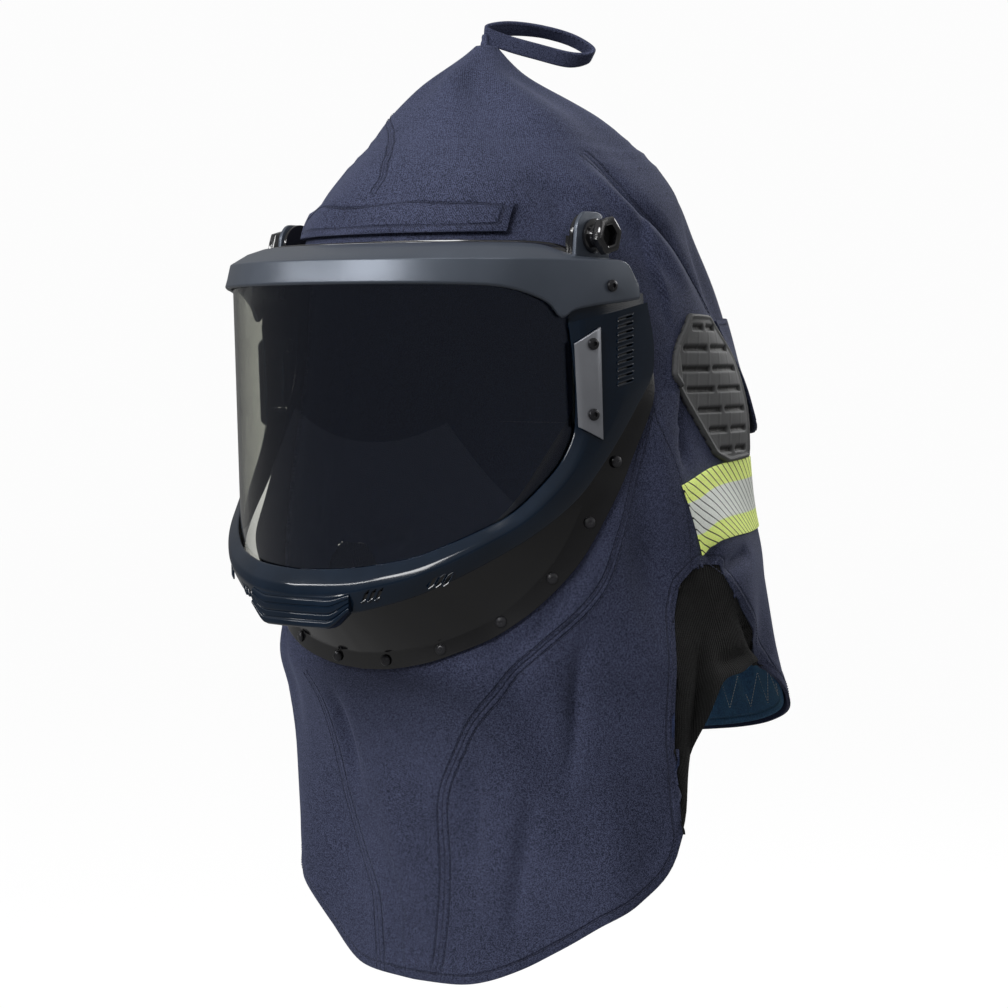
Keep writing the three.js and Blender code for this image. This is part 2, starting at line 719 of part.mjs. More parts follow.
function windowStations(count) {
  const read = (column, share) => alongRows(windowLine, column, share)
  const half = evenly(count).map((share) => ({
    x: read('half', share) * frameWidth / 2,
    z: browZ - read('down', share) * frameDrop,
    flange: read('flange', share) * flangeWidth,
    lipX: read('lipHalf', share) * frameWidth / 2,
    lipZ: browZ - read('lipDown', share) * frameDrop,
    reach: read('reach', share),
  }))
  const other = half.slice(1, -1).reverse().map((row) => ({ ...row, x: -row.x, lipX: -row.lipX }))
  return [...half, ...other]
}

const windowOutline = (count) => windowStations(count).map(({ x, z }) => [x, z])

function hoodCloth() {
  const whole = clothLayer(-clothWall, 0)
  const behind = clothSection(browZ).mid
  const window = prism(windowOutline(frameStations / 2), 'y', -hoodDepth, behind)
  const side = gussetOutline()
  const far = hoodWidth
  const near = hoodWidth / 4
  let shell = whole.subtract(window)
  const gussets = {}
  sides.forEach(({ name, sign }) => {
    gussets[name] = whole.intersect(sidePlate(sign, side, near, far))
    shell = shell.subtract(sidePlate(sign, grown(side, gap), near, far))
  })
  return { shell, gussets }
}

function backLining() {
  const layer = clothLayer(-clothWall - gap - liningThickness, -clothWall - gap)
  const front = liningFront * hoodDepth
  const head = liningHead * hoodDrop
  const window = [[front, -hoodDrop], [hoodDepth, -hoodDrop], [hoodDepth, head], [front, head]]
  return layer.intersect(prism(window, 'x', -hoodWidth, hoodWidth))
}

function foreheadFlap() {
  const foot = browZ + flangeWidth * windowLine[0].flange + frameWall + gap
  const outline = flapTop.map(({ across, rise }) => [across * foreheadFlapHalf, foot + rise * foreheadFlapHeight])
  const half = foreheadFlapHalf
  const layer = clothLayer(gap, gap + flapThickness)
  return layer.intersect(prism([[-half, foot], [half, foot], ...outline], 'y', -hoodDepth, 0))
}

function rearFlap() {
  const head = -rearFlapDrop
  const foot = head - rearFlapHeight
  const flare = (z) => rearFlapFlare * Math.min(Math.max((head - z) / rearFlapHeight, 0), 1) ** 2
  const corner = evenly(3).map((share) => share * 90 * degrees)
  const turn = (sign, angle) => [
    sign * (rearFlapHalf - rearFlapCorner * (1 - Math.cos(angle))),
    foot + rearFlapCorner * (1 - Math.sin(angle)),
  ]
  const outline = [
    [-rearFlapHalf, head],
    ...corner.map((angle) => turn(-1, angle)),
    ...corner.reverse().map((angle) => turn(1, angle)),
    [rearFlapHalf, head],
  ]
  const layer = clothLayer(gap, gap + flapThickness, flare)
  return layer.intersect(prism(outline, 'y', clothSection(head).mid, hoodDepth))
}

function reflectiveBand() {
  const outline = bandLine.map(({ back, level }) => [back * hoodDepth, level * hoodDrop])
  const layer = clothLayer(gap, gap + bandThickness)
  return layer.intersect(prism(outline, 'x', -hoodWidth, hoodWidth))
}

// The vent cover's outline as [y, z] pairs, and its two edges at a height.
const ventEdge = () => ventOutline.map(({ back, down }) => [
  ventBack + back * ventWidth,
  -ventDrop - down * ventHeight,
])

function ventSpan(z) {
  const outline = ventEdge()
  const crossings = outline.flatMap(([y, height], i) => {
    const [nextY, nextHeight] = outline[(i + 1) % outline.length]
    if ((height - z) * (nextHeight - z) > 0 || height === nextHeight) return []
    return [mix(y, nextY, (z - height) / (nextHeight - height))]
  })
  return [Math.min(...crossings), Math.max(...crossings)]
}

function ventCover(sign) {
  const outline = ventEdge()
  const near = hoodWidth / 4
  const far = hoodWidth
  const cut = (edge) => sidePlate(sign, edge, near, far)
  const face = gap + ventThickness
  const recess = clothLayer(face, face + ventThickness).intersect(cut(grown(outline, -ventRim)))
  let cover = clothLayer(gap, face + ventRimRise).intersect(cut(outline)).subtract(recess)
  const inset = ventRim * ventSlotInset
  evenly(ventSlotRows - 1).forEach((share) => {
    const middle = -ventDrop - mix(inset, ventHeight - inset, share)
    const [front, back] = ventSpan(middle)
    const centre = (front + back) / 2
    const spans = [[front + inset, centre - ventRib / 2], [centre + ventRib / 2, back - inset]]
    const top = middle + ventSlotHeight / 2
    const foot = middle - ventSlotHeight / 2
    spans.forEach(([start, end]) => {
      cover = cover.subtract(cut([[start, foot], [end, foot], [end, top], [start, top]]))
    })
  })
  return cover
}

function hangingLoop() {
  const lean = loopLean * degrees
  const heading = loopHeading * degrees
  const along = new THREE.Vector3(Math.cos(heading), Math.sin(heading), 0)
  const side = new THREE.Vector3(Math.sin(heading), -Math.cos(heading), 0)
  const wide = side.clone().multiplyScalar(Math.cos(lean)).add(new THREE.Vector3(0, 0, Math.sin(lean)))
  const rise = along.clone().cross(wide).normalize()
  if (rise.z < 0) rise.negate()
  const tip = new THREE.Vector3(0, clothSection(crownRise).mid, crownRise + 1 + gap)
  const base = tip.clone().setZ(tip.z + loopStem + (loopWidth / 2) * Math.sin(lean))
  const path = new THREE.CatmullRomCurve3(loopRun.map((row) => base.clone()
    .addScaledVector(along, row.along * loopLength)
    .addScaledVector(rise, row.rise * loopHeight)), true)
  const stations = evenly(18).slice(1).map((share) => {
    const at = path.getPointAt(share)
    const outward = path.getTangentAt(share).cross(wide).normalize()
    const corner = (w, t) => at.clone()
      .addScaledVector(wide, w * loopWidth / 2)
      .addScaledVector(outward, t * loopThickness / 2)
    return { outer: [corner(-1, 1), corner(1, 1)], inner: [corner(-1, -1), corner(1, -1)] }
  })
  const stemHalf = loopThickness
  const stem = new THREE.BoxGeometry(2 * stemHalf, 2 * stemHalf, base.z - tip.z)
  stem.translate(tip.x, tip.y, (base.z + tip.z) / 2)
  return wallSolid(stations, true).add(solidOf(stem))
}

// The face frame

function lipPoint({ lipX, lipZ, reach }, shift, out) {
  const x = lipX + out.x * shift
  const z = lipZ + out.y * shift
  const cloth = frontPoint(x, z, gap).y
  const share = Math.sqrt(Math.max(0, 1 - (x / (visorHalf - lipClearance)) ** 2))
  const lean = visorLean * Math.max(0, (browLevel(1) - z) / visorHeight)
  const visor = visorBack - (visorReach - lean - lensHalf - lipClearance) * share
  let y = cloth + reach * (visor - cloth)
  if (z > browLevel(1)) y = Math.max(y, shelfY(x) + barClearance)
  return new THREE.Vector3(x, Math.min(y, cloth - frameWall), z)
}

function framePlan() {
  const stations = windowStations(frameStations / 2)
  const outward = grown(stations.map(({ x, z }) => [x, z]), 1)
  return stations.map((station, i) => {
    const out = new THREE.Vector2(outward[i][0] - station.x, outward[i][1] - station.z).normalize()
    return { ...station, out }
  })
}

function frameStationPoints(station) {
  const { x, z, flange, out } = station
  const onCloth = (shift, offset) => frontPoint(x + out.x * shift, z + out.y * shift, offset)
  const top = gap + flangeThickness
  return {
    outer: [lipPoint(station, frameWall, out), onCloth(frameWall, top), onCloth(flange, top)],
    inner: [lipPoint(station, 0, out), onCloth(0, gap), onCloth(flange, gap)],
  }
}

function faceFrame() {
  const stations = framePlan().map(frameStationPoints)
  const ring = wallSolid(stations, true).subtract(clothLayer(-clothWall, gap))
  const legFront = pivot.y - earRadius
  const legBack = pivot.y + earRadius * legBehindPivot
  const legFoot = pivot.z - earRadius * legLength
  const leg = [[legFront, pivot.z], [legFront, legFoot], [legBack, legFoot], [legBack, pivot.z]]
  const ears = sides.map(({ sign }) => {
    const disc = sidePlate(sign, circle(earRadius, pivot.y, pivot.z, 20), earNear, earFar)
    const hole = sidePlate(sign, circle(shaftRadius + gap, pivot.y, pivot.z, 12), 0, hoodWidth)
    return disc.add(sidePlate(sign, leg, earNear - frameWall, earFar)).subtract(hole)
  })
  return ring.add(ears[0]).add(ears[1])
}

// Rivet seats along the middle of the flange, from the chin up the wearer's left side, each a point
// of the flange's face and its normal.
function rivetSeats() {
  const half = framePlan().slice(0, frameStations / 2 + 1).reverse().map(frameStationPoints)
  const seats = []
  let walked = 0
  half.slice(1).forEach(({ outer }, i) => {
    const before = half[i].outer
    const start = before[1].clone().lerp(before[2], 0.5)
    const end = outer[1].clone().lerp(outer[2], 0.5)
    const step = start.distanceTo(end)
    const normal = end.clone().sub(start).cross(outer[2].clone().sub(before[1])).normalize()
    if (normal.y > 0) normal.negate()
    for (let n = seats.length; n < rivetsPerSide; n++) {
      const wanted = (n + 0.5) * rivetPitch
      if (wanted > walked + step) break
      seats.push({ at: start.clone().lerp(end, (wanted - walked) / step), normal })
    }
    walked += step
  })
  return seats
}

// How far along its normal a round foot at a point has to stand to clear a piece by the gap.
function restAbove(mesh, at, normal, radius) {
  const across = new THREE.Vector3(0, 0, 1).cross(normal).normalize()
  const up = normal.clone().cross(across)
  const rays = circle(radius, 0, 0, 8).map(([a, b]) => {
    const start = at.clone().addScaledVector(across, a).addScaledVector(up, b)
    return new THREE.Raycaster(start.addScaledVector(normal, radius), normal.clone().negate())
  })
  const heights = rays.flatMap((ray) => ray.intersectObject(mesh).slice(0, 1).map((hit) => radius - hit.distance))
  return Math.max(...heights) + gap
}

// The visor

// The angles of the visor's columns, shared by the lens and the brow
function visorColumns() {
  const rows = mirrored(browLine, 'angle').map((row) => row.angle)
  return rows.flatMap((angle, i) => {
    const width = i + 1 < rows.length ? rows[i + 1] - angle : 0
    const parts = Math.max(1, Math.ceil(width / browStep))
    return evenly(parts).slice(0, -1).map((share) => angle + share * width)
  })
}

function lens() {
  const last = lensFoot[lensFoot.length - 1].angle
  const top = browLevel(browLine[0].edge) - visorWall - 3 * gap
  const columns = visorColumns().filter((angle) => Math.abs(angle) < last)
  return wallGeometry([-last, ...columns, last].map((angle) => {
    const foot = visorZ(alongTable(lensFoot, 'angle', 'down', Math.abs(angle)))
    const row = (offset) => [top, foot].map((z) => visorPoint(angle, z, offset))
    return { outer: row(lensHalf), inner: row(-lensHalf) }
  }))
}

function brow() {
  const proud = skinStart + browProud
  const shell = wallSolid(visorColumns().map((angle) => {
    const read = (column) => alongTable(browLine, 'angle', column, Math.abs(angle))
    const edge = browLevel(read('edge'))
    const foot = browLevel(read('foot'))
    const crest = browLevel(read('crest'))
    const inner = shelfPoint(angle, crest)
    const slope = (share, drop) => {
      const end = visorPoint(angle, edge, proud - browBevel)
      return inner.clone().lerp(end, share).setZ(mix(crest, edge + 1, share) - drop)
    }
    const swell = browCrown * browSwell
    return {
      outer: [
        slope(0, 0),
        slope(0.5, -swell),
        slope(1, 0),
        visorPoint(angle, mix(edge, foot, 0.2), proud),
        visorPoint(angle, foot + browRimBevel, proud),
        visorPoint(angle, foot, proud - browRimBevel),
      ],
      inner: [
        slope(0, visorWall),
        slope(0.5, visorWall - swell),
        slope(0.96, visorWall),
        visorPoint(angle, Math.max(mix(edge, foot, 0.35), foot + 2), skinStart),
        visorPoint(angle, foot + browRimBevel, skinStart),
        visorPoint(angle, foot, skinStart),
      ],
    }
  }))
  const notchFront = pivot.y - earRadius - barClearance
  const notch = [[notchFront, -hoodDrop], [hoodDepth, -hoodDrop], [hoodDepth, hoodDrop], [notchFront, hoodDrop]]
  const rim = tabRim.map(({ back, rise }) => [pivot.y + back * earRadius, pivot.z + rise * earRadius])
  const tab = tabFoot.map((back) => [pivot.y + back * earRadius, browZ - browCrown]).concat(rim)
  let solid = shell
  sides.forEach(({ sign }) => {
    solid = solid.subtract(sidePlate(sign, notch, 0, moverNear + shelfSetBack))
    solid = solid.add(sidePlate(sign, tab, moverNear, moverFar))
    solid = solid.subtract(sidePlate(sign, circle(shaftRadius + gap, pivot.y, pivot.z, 12), 0, moverFar + knobLength))
  })
  return solid
}

// A slot through the visor's wall, as a slanted four-sided hole.
function visorSlot(angle, z, width, height, slant) {
  const shape = new THREE.Shape([
    new THREE.Vector2(-width / 2, -height / 2),
    new THREE.Vector2(width / 2, -height / 2 + slant),
    new THREE.Vector2(width / 2, height / 2 + slant),
    new THREE.Vector2(-width / 2, height / 2),
  ])
  const depth = 8 * visorWall
  const geometry = new THREE.ExtrudeGeometry(shape, { depth, bevelEnabled: false })
  geometry.translate(0, 0, -depth / 2)
  const out = visorNormal(angle, z)
  const up = new THREE.Vector3(0, 0, 1)
  geometry.applyMatrix4(new THREE.Matrix4().makeBasis(up.clone().cross(out), up, out))
  const at = visorPoint(angle, z, skinEnd)
  geometry.translate(at.x, at.y, at.z)
  return solidOf(geometry)
}

function lowerFrame() {
  const half = evenly(visorStations / 2).map((share) => {
    const read = (column) => alongRows(lowerLine, column, share)
    return { inner: [read('innerAngle'), read('innerDown')], outer: [read('outerAngle'), read('outerDown')],
      crest: read('crest'), proud: read('proud') }
  })
  const flip = ([angle, down]) => [-angle, down]
  const other = half.slice(0, -1).reverse().map((row) => ({ ...row, inner: flip(row.inner), outer: flip(row.outer) }))
  const frame = wallSolid([...half, ...other].map(({ inner, outer, crest, proud }) => {
    const shares = [0, crest, (1 + crest) / 2, 1]
    const rises = [0.35, proud, (proud + 1) / 2, 0.75]
    const place = (share, offset) => {
      const angle = mix(inner[0], outer[0], share)
      return visorPoint(angle, visorZ(mix(inner[1], outer[1], share)), offset)
    }
    return {
      outer: shares.map((share, k) => place(share, skinStart + visorWall * rises[k])),
      inner: shares.map((share, k) => place(share, skinStart + Math.max(0, rises[k] - 1) * visorWall)),
    }
  }))
  const chinEnd = chinFoot[chinFoot.length - 1].angle
  const steps = 2 * chinRidges + 1
  const block = wallSolid(evenly(8).map((share) => {
    const angle = mix(-chinEnd, chinEnd, share)
    const foot = alongTable(chinFoot, 'angle', 'down', Math.abs(angle))
    const heights = evenly(steps).map((k) => visorZ(mix(chinTop, foot, k)))
    const proud = skinStart + visorWall * chinSeat
    return {
      outer: heights.map((z, k) => visorPoint(angle, z, proud + (k % 2 && k < steps ? chinProud : 0))),
      inner: heights.map((z) => visorPoint(angle, z, skinStart)),
    }
  }))
  let solid = frame.add(block)
  sides.forEach(({ sign }) => {
    chinSlots.forEach(({ angle, down, slant }) => {
      [-1, 0, 1].forEach((k) => {
        const turn = sign * (angle + (k * chinSlotPitch) / visorReach / degrees)
        const z = visorZ(down) + k * chinSlotRise
        const slot = visorSlot(turn, z, chinSlotWidth, chinSlotHeight, sign * slant * chinSlotLean)
        solid = solid.subtract(slot)
      })
    })
    evenly(louvreCount - 1).forEach((share) => {
      const z = visorZ(louvreDown) - share * (louvreCount - 1) * louvrePitch
      solid = solid.subtract(visorSlot(sign * louvreAngle, z, louvreLength, louvreHeight, sign * louvreSlant))
    })
  })
  return solid
}

function plateWall(sign) {
  const [top, foot] = plateCorners
  return wallGeometry(evenly(3).map((share) => {
    const place = (corner, offset) => {
      const angle = sign * mix(corner.frontAngle, corner.rearAngle, share)
      return visorPoint(angle, visorZ(mix(corner.frontDown, corner.rearDown, share)), offset)
    }
    const near = skinStart + plateSeat + gap
    return {
      outer: [place(top, near + plateThickness), place(foot, near + plateThickness)],
      inner: [place(top, near), place(foot, near)],
    }
  }))
}

// Fasteners

const lathe = (profile, sections) => {
  const points = profile.map(([radius, height]) => new THREE.Vector2(radius, height))
  return new THREE.LatheGeometry(points, sections).rotateX(Math.PI / 2)
}

const sized = (rows, wide, high) => rows.map(({ radius, height }) => [radius * wide, height * high])

const screwGeometry = () => lathe(sized(screwProfile, screwRadius, screwHeight), screwSections)

const rivetGeometry = () => lathe(sized(rivetProfile, rivetRadius, rivetHeight), screwSections)

// The knob: a shaft through both ears, a washer, a waist and a hollow grip.
function knobGeometry() {
  const end = -2 * earThickness - earClearance - shaftEnd
  const shaft = [[0, end], [shaftRadius, end], [shaftRadius, 0]]
  return lathe([...shaft, ...sized(knobProfile, knobRadius, knobLength)], knobSections)
}

// The assembly

const finishes = {
  cloth: { color: 0x2b2f4a, roughness: 0.95, metalness: 0 },
  knit: { color: 0x151515, roughness: 1, metalness: 0 },
  lining: { color: 0x2c5c8c, roughness: 0.9, metalness: 0 },
  reflective: { color: 0xd7f05a, roughness: 0.6, metalness: 0 },
  rubber: { color: 0x3a3c3e, roughness: 0.75, metalness: 0 },
  black: { color: 0x141618, roughness: 0.35, metalness: 0 },
  grey: { color: 0x505560, roughness: 0.45, metalness: 0 },
  navy: { color: 0x18222e, roughness: 0.25, metalness: 0 },
  lens: { color: 0x9b9e91, roughness: 0.05, metalness: 0, transparent: true, opacity: 0.4 },
  steel: { color: 0x2a2c2e, roughness: 0.3, metalness: 0.8 },
}

function piece(name, shape, finish) {
  const geometry = shape.isBufferGeometry ? welded(shape) : geometryOf(shape)
  geometry.computeVertexNormals()
  const mesh = new THREE.Mesh(geometry, new THREE.MeshStandardMaterial(finishes[finish]))
  mesh.name = name
  return mesh
}

// Sets a turned piece on a point, with its axis along a direction.
function setOn(mesh, at, direction) {
  mesh.position.copy(at)
  mesh.quaternion.setFromUnitVectors(new THREE.Vector3(0, 0, 1), direction)
  return mesh
}

const hood = new THREE.Group()
const { shell, gussets } = hoodCloth()
hood.add(piece('hood_shell', shell, 'cloth'))
sides.forEach(({ name }) => hood.add(piece(`gusset_${name}`, gussets[name], 'knit')))
hood.add(piece('back_lining', backLining(), 'lining'))
hood.add(piece('hanging_loop', hangingLoop(), 'cloth'))
hood.add(piece('forehead_flap', foreheadFlap(), 'cloth'))
hood.add(piece('rear_flap', rearFlap(), 'cloth'))
hood.add(piece('reflective_band', reflectiveBand(), 'reflective'))
const frame = piece('face_frame', faceFrame(), 'black')
hood.add(frame)

const seats = rivetSeats()
sides.forEach(({ name, sign }) => {
  hood.add(piece(`vent_cover_${name}`, ventCover(sign), 'rubber'))
  seats.forEach(({ at, normal }, i) => {
    const flip = (v) => v.clone().setX(sign * v.x)
    const rise = restAbove(frame, flip(at), flip(normal), rivetRadius)
    const rivet = piece(`rivet_${name}_${i + 1}`, rivetGeometry(), 'steel')
    hood.add(setOn(rivet, flip(at).addScaledVector(flip(normal), rise), flip(normal)))
  })
})

const visor = new THREE.Group()
visor.add(piece('visor_lens', lens(), 'lens'))
visor.add(piece('visor_brow', brow(), 'grey'))
visor.add(piece('visor_lower_frame', lowerFrame(), 'navy'))
sides.forEach(({ name, sign }) => {
  visor.add(piece(`side_plate_${name}`, plateWall(sign), 'grey'))
  plateScrewDrops.forEach((drop, i) => {
    const z = browZ - drop
    const angle = sign * plateScrewAngle
    const at = visorPoint(angle, z, skinStart + plateSeat + plateThickness + 2 * gap)
    const screw = piece(`plate_screw_${name}_${i + 1}`, screwGeometry(), 'steel')
    visor.add(setOn(screw, at, visorNormal(angle, z)))
  })
  const screwAngle = sign * browScrewAngle
  const screwZ = browLevel(1)
  const at = visorPoint(screwAngle, screwZ, skinStart + browProud + gap)
  const screw = piece(`brow_screw_${name}`, screwGeometry(), 'steel')
  visor.add(setOn(screw, at, visorNormal(screwAngle, screwZ)))
  const seat = new THREE.Vector3(sign * (moverFar + gap), pivot.y, pivot.z)
  const knob = piece(`pivot_knob_${name}`, knobGeometry(), 'black')
  visor.add(setOn(knob, seat, new THREE.Vector3(sign, 0, 0)))
})

const arcFlashHood = new THREE.Group()
arcFlashHood.add(hood, visor)

export default arcFlashHood
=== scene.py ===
import json
import math
from contextlib import contextmanager

import bmesh
import bpy
import numpy as np
from bpy.props import FloatProperty, FloatVectorProperty, IntProperty, PointerProperty
from mathutils import Euler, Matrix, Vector

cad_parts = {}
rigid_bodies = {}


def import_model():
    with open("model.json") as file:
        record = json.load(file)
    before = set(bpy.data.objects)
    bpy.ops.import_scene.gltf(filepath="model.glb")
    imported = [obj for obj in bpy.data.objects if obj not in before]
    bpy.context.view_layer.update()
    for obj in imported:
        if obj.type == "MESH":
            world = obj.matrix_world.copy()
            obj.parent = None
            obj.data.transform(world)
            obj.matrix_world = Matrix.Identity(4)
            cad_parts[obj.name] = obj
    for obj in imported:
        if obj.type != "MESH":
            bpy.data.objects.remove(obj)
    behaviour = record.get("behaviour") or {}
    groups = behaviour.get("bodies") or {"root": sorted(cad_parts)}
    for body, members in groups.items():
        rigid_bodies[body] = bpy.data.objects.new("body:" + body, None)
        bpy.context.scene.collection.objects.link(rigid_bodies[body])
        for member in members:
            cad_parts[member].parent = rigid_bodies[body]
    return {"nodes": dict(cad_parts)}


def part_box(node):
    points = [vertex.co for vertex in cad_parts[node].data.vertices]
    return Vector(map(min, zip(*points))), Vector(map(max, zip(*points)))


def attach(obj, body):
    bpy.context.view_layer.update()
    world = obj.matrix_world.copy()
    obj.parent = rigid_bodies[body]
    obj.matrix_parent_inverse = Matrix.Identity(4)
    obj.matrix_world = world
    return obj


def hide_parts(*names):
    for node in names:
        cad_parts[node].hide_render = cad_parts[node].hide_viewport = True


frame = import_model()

bl_info = {
    "name": "Arc flash hood",
    "version": (1, 0, 0),
    "blender": (4, 5, 0),
    "location": "3D View > Sidebar > Hood",
    "description": "Builds a cloth hood with a bib and a lift-up visor round its packed frame",
    "category": "Add Mesh",
}

# Sizes shared with the frame, in millimetres
HOOD_WIDTH = 380
HOOD_DEPTH = 350
CROWN_RISE = 76
HOOD_DROP = 575
CLOTH_WALL = 3
BACK_ROUNDNESS = 2.35
FOLD_DEPTH = 9
GAP = 0.3
BAR_CLEARANCE = 2.6
SHELF_SET_BACK = 2
EAR_CLEARANCE = 0.8
LIP_CLEARANCE = 3
SKIN_CLEARANCE = 1.2
PANEL_STAND_OFF = 2
BROW_DROP = 68
BROW_STAND_OFF = 71
BROW_PROUD = 4.2
BROW_HEIGHT = 28
BROW_CROWN = 13
VISOR_HEIGHT = 251
VISOR_LEAN = 12
SHELF_DEPTH = 38
SHELF_ROUNDNESS = 2.4
LENS_WALL = 2
VISOR_WALL = 3.5
PIVOT_BACK = 141
PIVOT_RISE = 5
PANEL_BEHIND_PIVOT = 42
EAR_RADIUS = 16
EAR_THICKNESS = 3.2
FRAME_WALL = 3
FLANGE_WIDTH = 14
FLANGE_THICKNESS = 2.4
FRAME_DROP = 270
FRAME_WIDTH = 280
FLAP_THICKNESS = 2.4
FOREHEAD_FLAP_HEIGHT = 22
FOREHEAD_FLAP_HALF = 92
REAR_FLAP_HEIGHT = 82
REAR_FLAP_DROP = 116
REAR_FLAP_HALF = 134
REAR_FLAP_CORNER = 14
REAR_FLAP_FLARE = 7
VENT_WIDTH = 102
VENT_HEIGHT = 103
VENT_DROP = 113
VENT_BACK = 18
LOOP_LENGTH = 76
LOOP_HEIGHT = 24
LOOP_WIDTH = 10
LINING_FRONT = 0.43
LINING_HEAD = -0.52
LOUVRE_COUNT = 10
LOUVRE_PITCH = 4.7
CHIN_SLOT_PITCH = 5.2
CHIN_TOP = 0.885
PLATE_SCREW_DROPS = (66, 112)
KNOB_LENGTH = 15
KNOB_RADIUS = 13

# Sizes of the visual detail alone, in millimetres
WELD = 0.02
WINDOW_SNAP = 2.6
GUSSET_SNAP = 3.3
RELIEF = 2.8
WRINKLES = (1.3, 1.0, 0.9, 0.7, 0.6, 0.5, 0.4)
GUSSET_SINK = 0.9
SCREW_SMOOTH = 32
FLAP_STITCH = 4
REAR_STITCH = 5
HEM_STITCH = 6
LINING_REACH = 165
ZIGZAG_PITCH = 26
ZIGZAG_HALF = 12
SLOT_RIM = 0.55
FLOOR_HALF = 9000


def table(columns, *rows):
    """A table as one array for each named column."""
    return {name: np.array([row[i] for row in rows], float) for i, name in enumerate(columns.split())}


# Cross-sections of the cloth, in shares of the sizes above
CLOTH_SECTIONS = table(
    "level half mid front back round",
    (-1, 1, 0.366, -0.194, 0.63, 2.65),
    (-0.878, 0.984, 0.343, -0.209, 0.63, 2.8),
    (-0.812, 0.974, 0.323, -0.214, 0.63, 2.85),
    (-0.72, 0.947, 0.263, -0.24, 0.63, 2.8),
    (-0.65, 0.911, 0.229, -0.297, 0.629, 2.55),
    (-0.605, 0.895, 0.189, -0.343, 0.628, 2.35),
    (-0.504, 0.884, 0.114, -0.346, 0.626, 2.05),
    (-0.435, 0.868, 0.08, -0.334, 0.589, 2),
    (-0.348, 0.842, 0.069, -0.32, 0.551, 2),
    (-0.252, 0.811, 0.08, -0.32, 0.54, 2),
    (-0.174, 0.763, 0.057, -0.329, 0.497, 2),
    (-0.104, 0.689, 0.043, -0.337, 0.448, 2),
    (-0.052, 0.642, 0.069, -0.306, 0.402, 2),
    (0, 0.537, 0.086, -0.237, 0.333, 2),
    (0.237, 0.442, 0.06, -0.176, 0.265, 2),
    (0.474, 0.3, 0.04, -0.138, 0.192, 2),
    (0.724, 0.142, 0.014, -0.085, 0.09, 2),
    (0.868, 0.089, 0.02, -0.036, 0.062, 2),
    (1, 0.037, 0.023, 0, 0.046, 2),
)

# The hem's level at an angle from the front, on the wearer's left and right
HEM = table(
    "angle left right",
    (0, -0.998, -0.998), (10, -0.991, -0.993), (21, -0.967, -0.95), (30, -0.941, -0.911),
    (41, -0.909, -0.888), (51, -0.883, -0.871), (60, -0.846, -0.843), (66, -0.791, -0.791),
    (72, -0.736, -0.736), (79, -0.681, -0.681), (86, -0.635, -0.635), (92, -0.626, -0.626),
    (101, -0.617, -0.617), (112, -0.628, -0.628), (128, -0.685, -0.685), (145, -0.717, -0.717),
    (180, -0.751, -0.751),
)

# Broad folds: angle and spread in degrees, and depth in shares of FOLD_DEPTH
FOLDS = table(
    "angle spread start end depth",
    (34, 9, -0.469, -0.806, -0.7), (-36, 10, -0.487, -0.787, -0.5), (16, 12, -0.731, -1.012, 0.5),
    (-12, 10, -0.694, -1.012, -0.45), (-30, 12, -0.75, -1.031, 0.6), (46, 10, -0.656, -0.984, 0.5),
    (-50, 10, -0.619, -0.937, -0.6), (74, 9, -0.281, -0.619, -0.7), (-76, 10, -0.281, -0.6, -0.6),
    (112, 12, -0.469, -0.75, -0.9), (-116, 12, -0.45, -0.75, -0.8), (124, 11, 0, -0.3, -0.7),
    (-122, 12, 0, -0.319, -0.7), (152, 12, -0.375, -0.769, 0.7), (-158, 14, -0.394, -0.769, 0.6),
    (178, 12, -0.412, -0.769, -0.7),
)

